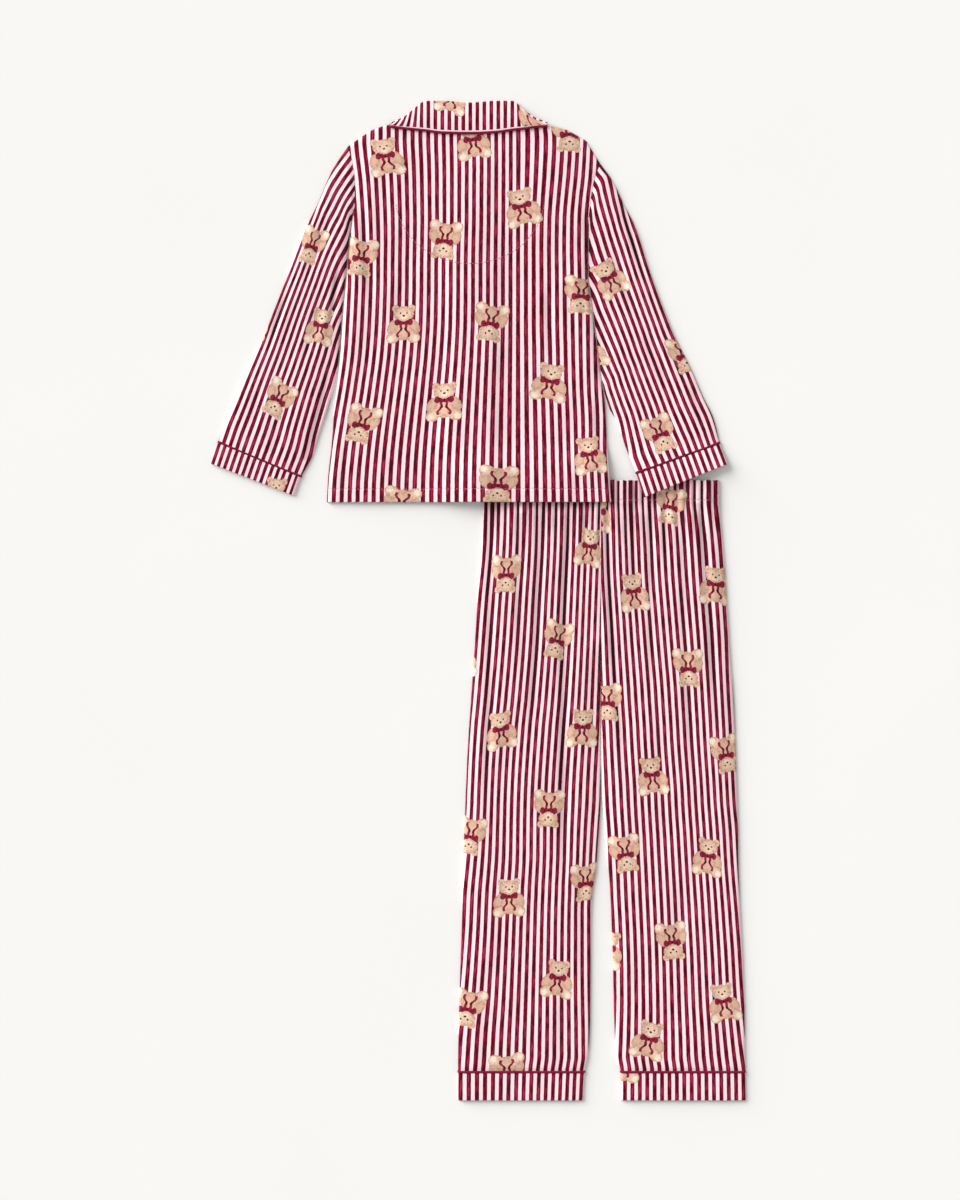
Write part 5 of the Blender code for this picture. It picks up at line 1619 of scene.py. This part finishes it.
# %% The bears' half-drop repeat
def bear_spot(tree, spot):
    """Where a point lies on its bear, in millimetres from the bear's middle."""
    leaned = put(tree, "Mapping", {"Vector": spot, "Rotation": (0, 0, CELL_LEAN)})
    part = put(tree, "SeparateXYZ", {0: leaned}).node
    columns = put(tree, "Math", {0: part.outputs[0], 1: CELL_WIDTH}, operation="DIVIDE")
    column = put(tree, "Math", {0: columns}, operation="FLOOR")
    odd = put(tree, "Math", {0: column, 1: 2.0}, operation="FLOORED_MODULO")
    rows = put(tree, "Math", {0: part.outputs[1], 1: CELL_LENGTH}, operation="DIVIDE")
    rows = put(tree, "Math", {0: odd, 1: 0.5, 2: rows}, operation="MULTIPLY_ADD")
    row = put(tree, "Math", {0: rows}, operation="FLOOR")
    cell = put(tree, "CombineXYZ", {0: column, 1: row})
    off = put(tree, "VectorMath", {0: put(tree, "CombineXYZ", {0: columns, 1: rows}), 1: cell},
              operation="SUBTRACT")
    off = put(tree, "VectorMath", {0: off, 1: (0.5, 0.5, 0.0)}, operation="SUBTRACT")
    off = put(tree, "VectorMath", {0: off, 1: (CELL_WIDTH, CELL_LENGTH, 0.0)}, operation="MULTIPLY")
    luck = put(tree, "TexWhiteNoise", {0: cell}, noise_dimensions="2D").node
    moved = put(tree, "VectorMath", {0: luck.outputs["Color"], 1: (0.5, 0.5, 0.5)}, operation="SUBTRACT")
    moved = put(tree, "VectorMath", {0: moved, 1: (*CELL_PLAY, 0.0)}, operation="MULTIPLY")
    off = put(tree, "VectorMath", {0: off, 1: moved}, operation="SUBTRACT")
    both = put(tree, "Math", {0: column, 1: row}, operation="ADD")
    upside = put(tree, "Math", {0: both, 1: 2.0}, operation="FLOORED_MODULO")
    tilt = put(tree, "Math", {0: luck.outputs["Value"], 1: BEAR_TILT, 2: -BEAR_TILT / 2 - CELL_LEAN},
               operation="MULTIPLY_ADD")
    turn = put(tree, "Math", {0: upside, 1: math.pi, 2: tilt}, operation="MULTIPLY_ADD")
    return put(tree, "VectorRotate", {"Vector": off, "Angle": turn}, rotation_type="Z_AXIS")


def paint_bears(tree, spot, plain, stripes):
    """The print's bears over the stripes, with the fuzzy outline that brushing gives them."""
    off = bear_spot(tree, spot)
    furry = put(tree, "TexNoise", {"Vector": plain, "Scale": 0.36, "Detail": 4.0}).node
    fuzz = put(tree, "VectorMath", {0: furry.outputs["Color"], 1: (0.5, 0.5, 0.5)}, operation="SUBTRACT")
    fuzz = put(tree, "VectorMath", {0: fuzz, 1: (BEAR_FUZZ, BEAR_FUZZ, 0.0)}, operation="MULTIPLY")
    off = put(tree, "VectorMath", {0: off, 1: fuzz}, operation="ADD")
    flat = put(tree, "VectorMath", {0: off, 1: (1 / BEAR_SIZE, 1 / BEAR_SIZE, 0.0)}, operation="MULTIPLY")
    folded = put(tree, "VectorMath", {0: flat}, operation="ABSOLUTE")
    part, mirrored = [put(tree, "SeparateXYZ", {0: value}).node for value in (flat, folded)]
    pair = put(tree, "CombineXYZ", {0: mirrored.outputs[0], 1: part.outputs[1]})
    painted = stripes
    for oval in BEAR[:6]:
        painted = paint_oval(tree, pair if oval[0] else flat, painted, oval, furry.outputs[0])
    painted = paint_tails(tree, pair, painted)
    for oval in BEAR[6:]:
        painted = paint_oval(tree, pair if oval[0] else flat, painted, oval, furry.outputs[0])
    return painted


# %% Weave and nap
def weave_height(tree, plain):
    """A raised twill line at every pitch and the brushed fibre over it."""
    twill = put(tree, "Mapping", {"Vector": plain, "Rotation": (0, 0, math.radians(38))})
    line = put(tree, "TexWave", {"Vector": twill, "Scale": BAND_UNIT / TWILL_PITCH, "Distortion": 1.6,
                                 "Detail": 1.0, "Detail Scale": 1.5})
    nap = put(tree, "TexNoise", {"Vector": plain, "Scale": 0.9, "Detail": 4.0, "Roughness": 0.65})
    return put(tree, "Math", {0: line, 1: 0.35, 2: nap}, operation="MULTIPLY_ADD")


# %% The striped cotton
def striped_flannel():
    """Stripes, then bears, then lint, over a twill."""
    made, tree, shader = new_finish("brushed_striped_flannel")
    plain, spot = cloth_millimetres(tree)
    colour = paint_bears(tree, spot, plain, paint_stripes(tree, plain, spot))
    raised = weave_height(tree, plain)
    lint = put(tree, "MapRange", {0: raised, 1: 0.2, 2: 1.1, 3: 0.94, 4: 1.03})
    colour = put(tree, "VectorMath", {0: colour, 3: lint}, operation="SCALE")
    rough = put(tree, "MapRange", {0: raised, 1: 0.2, 2: 1.1, 3: 0.84, 4: 0.96})
    bump = put(tree, "Bump", {"Strength": 0.35, "Distance": 0.00025, "Height": raised})
    fill(tree, shader, {"Base Color": colour, "Roughness": rough, "Normal": bump, "IOR": 1.45,
                        "Specular IOR Level": 0.08, "Sheen Weight": 0.02, "Sheen Roughness": 0.6})
    return made


flannel = striped_flannel()
print("nodes in the flannel:", len(flannel.node_tree.nodes))

# %% [markdown]
# ### Piping, thread and buttons
#
# The piping is a bias strip of dark burgundy satin-faced cotton round a cord: smoother than flannel, with
# a fine twist where the strip's threads run slantwise round it. The thread is a rose spun polyester. The
# buttons are polyester resin in a mother-of-pearl finish, clouded and slightly glossy.


# %% The piping
PIPING_DARK, PIPING_LIGHT = "#5c0620", "#8e1039"


def bias_piping():
    """Dark burgundy with a fine slanting twist."""
    made, tree, shader = new_finish("bias_cut_cotton_piping")
    chart = put(tree, "UVMap", uv_map="cloth")
    plain = put(tree, "VectorMath", {0: chart, 3: 1 / MM}, operation="SCALE")
    slant = put(tree, "Mapping", {"Vector": plain, "Rotation": (0, 0, math.radians(45))})
    twist = put(tree, "TexWave", {"Vector": slant, "Scale": BAND_UNIT / BIAS_PITCH, "Distortion": 0.6})
    worn = put(tree, "TexNoise", {"Vector": plain, "Scale": 0.3, "Detail": 3.0})
    shade = put(tree, "Math", {0: twist, 1: 0.5, 2: worn}, operation="MULTIPLY_ADD")
    shade = put(tree, "MapRange", {0: shade, 1: 0.3, 2: 1.1})
    colour = put(tree, "Mix", {0: shade, 6: dye(PIPING_DARK), 7: dye(PIPING_LIGHT)}, data_type="RGBA")
    bump = put(tree, "Bump", {"Strength": 0.5, "Distance": 0.0002, "Height": twist})
    fill(tree, shader, {"Base Color": colour, "Normal": bump, "Roughness": 0.7, "Specular IOR Level": 0.15,
                        "Sheen Weight": 0.03})
    return made


# %% Thread and buttons
THREAD_DARK, THREAD_LIGHT = "#a6506c", "#c98a9c"
PEARL_CLOUD, PEARL = "#d9cdbf", "#f4efe6"


def spun_thread():
    """Rose thread, mottled by its plies."""
    made, tree, shader = new_finish("spun_polyester_thread")
    place = put(tree, "TexCoord").node.outputs["Object"]
    ply = put(tree, "TexNoise", {"Vector": place, "Scale": 900.0, "Detail": 2.0})
    colour = put(tree, "Mix", {0: ply, 6: dye(THREAD_DARK), 7: dye(THREAD_LIGHT)}, data_type="RGBA")
    bump = put(tree, "Bump", {"Strength": 0.4, "Distance": 0.0001, "Height": ply})
    fill(tree, shader, {"Base Color": colour, "Normal": bump, "Roughness": 0.65})
    return made


def pearl_resin():
    """Clouded, slightly glossy resin."""
    made, tree, shader = new_finish("pearl_polyester_resin")
    place = put(tree, "TexCoord").node.outputs["Object"]
    cloud = put(tree, "TexNoise", {"Vector": place, "Scale": 260.0, "Detail": 3.0, "Distortion": 1.2})
    colour = put(tree, "Mix", {0: cloud, 6: dye(PEARL_CLOUD), 7: dye(PEARL)}, data_type="RGBA")
    rough = put(tree, "MapRange", {0: cloud, 1: 0.3, 2: 0.7, 3: 0.22, 4: 0.38})
    fill(tree, shader, {"Base Color": colour, "Roughness": rough, "IOR": 1.56, "Coat Weight": 0.2})
    return made


# %% Giving each piece its finish
finishes = {"cloth": flannel, "cord": bias_piping(), "thread": spun_thread(), "shirt": pearl_resin()}
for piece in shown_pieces():
    kind = piece.name.split("_")[0]
    if kind in finishes:
        piece.data.materials.clear()
        piece.data.materials.append(finishes[kind])

# %% [markdown]
# ## Floor, light and camera
#
# The set lies on a plain pale board. A wide soft key comes from the upper left, like a big window, and
# the rest is the even light of a white studio. The camera hangs straight above.

# %% The floor
HALF_FLOOR, FLOOR_LEVEL = 6.0, -0.0002   # metres; it lies just below the cloth
BOARD_DARK, BOARD_LIGHT = "#ebeae8", "#eeedeb"
floor_mesh = bpy.data.meshes.new("studio_floor")
corner_signs = ((-1, -1), (1, -1), (1, 1), (-1, 1))
floor_corners = [(x * HALF_FLOOR, y * HALF_FLOOR, FLOOR_LEVEL) for x, y in corner_signs]
floor_mesh.from_pydata(floor_corners, [], [(0, 1, 2, 3)])
floor = bpy.data.objects.new("studio_floor", floor_mesh)
bpy.context.scene.collection.objects.link(floor)
board, board_tree, board_shader = new_finish("painted_board")
board_spot = put(board_tree, "TexCoord").node.outputs["Object"]
grain = put(board_tree, "TexNoise", {"Vector": board_spot, "Scale": 3.0, "Detail": 2.0})
pale_paint = put(board_tree, "Mix", {0: grain, 6: dye(BOARD_DARK), 7: dye(BOARD_LIGHT)}, data_type="RGBA")
fill(board_tree, board_shader, {"Base Color": pale_paint, "Roughness": 0.9, "Specular IOR Level": 0.1})
floor_mesh.materials.append(board)
floor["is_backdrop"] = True

# %% The light
KEY_STRENGTH = 4.62                                    # watts on each square metre
KEY_HEIGHT, KEY_FROM, KEY_SPREAD = 22.6, 146.0, 46.0   # degrees over the floor, round it, and across
FILL, FILL_COLOUR = 0.56, (1.0, 0.995, 0.985, 1.0)
key = bpy.data.lights.new("window_key", "SUN")
key.energy, key.angle = KEY_STRENGTH, math.radians(KEY_SPREAD)
key_lamp = bpy.data.objects.new("window_key", key)
key_lamp.rotation_euler = (0, math.radians(90 - KEY_HEIGHT), math.radians(KEY_FROM))
bpy.context.scene.collection.objects.link(key_lamp)
world = bpy.data.worlds.new("studio_fill")
world.use_nodes = True
fill(world.node_tree, world.node_tree.nodes["Background"], {"Color": FILL_COLOUR, "Strength": FILL})
bpy.context.scene.world = world
bpy.context.scene.view_settings.view_transform = "Standard"

# %% The camera
FRAME_LENGTH = 1.440                      # what the long side takes in, in metres
LENS, SENSOR = 85.0, 36.0                 # mm
AIM, CLOTH_LEVEL = (0.00195, 0.00045), 0.004   # the spot below the camera, and the height that it frames
camera = bpy.data.cameras.new("overhead")
camera.lens, camera.sensor_width = LENS, SENSOR
overhead = bpy.data.objects.new("overhead", camera)
overhead.location = (*AIM, CLOTH_LEVEL + FRAME_LENGTH * LENS / SENSOR)
bpy.context.scene.collection.objects.link(overhead)
bpy.context.scene.camera = overhead
print("camera height in metres:", round(overhead.location.z, 3))

# %% [markdown]
# ## Last sizes
#
# The boxes of the imported model and of the dressed one are printed side by side, with the count of
# triangles. The dressed model may stand only a little proud of the imported one.

# %% Sizes, and the end
dressed_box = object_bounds()
triangles = {}
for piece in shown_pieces():
    piece.data.calc_loop_triangles()
    triangles[piece.name] = len(piece.data.loop_triangles)
most = max(triangles, key=triangles.get)
print("triangles:", sum(triangles.values()), "most in one piece:", most, triangles[most])
for corners in zip(cad_box, dressed_box):
    print("packed and dressed, mm:", *[round(value / MM, 2) for corner in corners for value in corner])
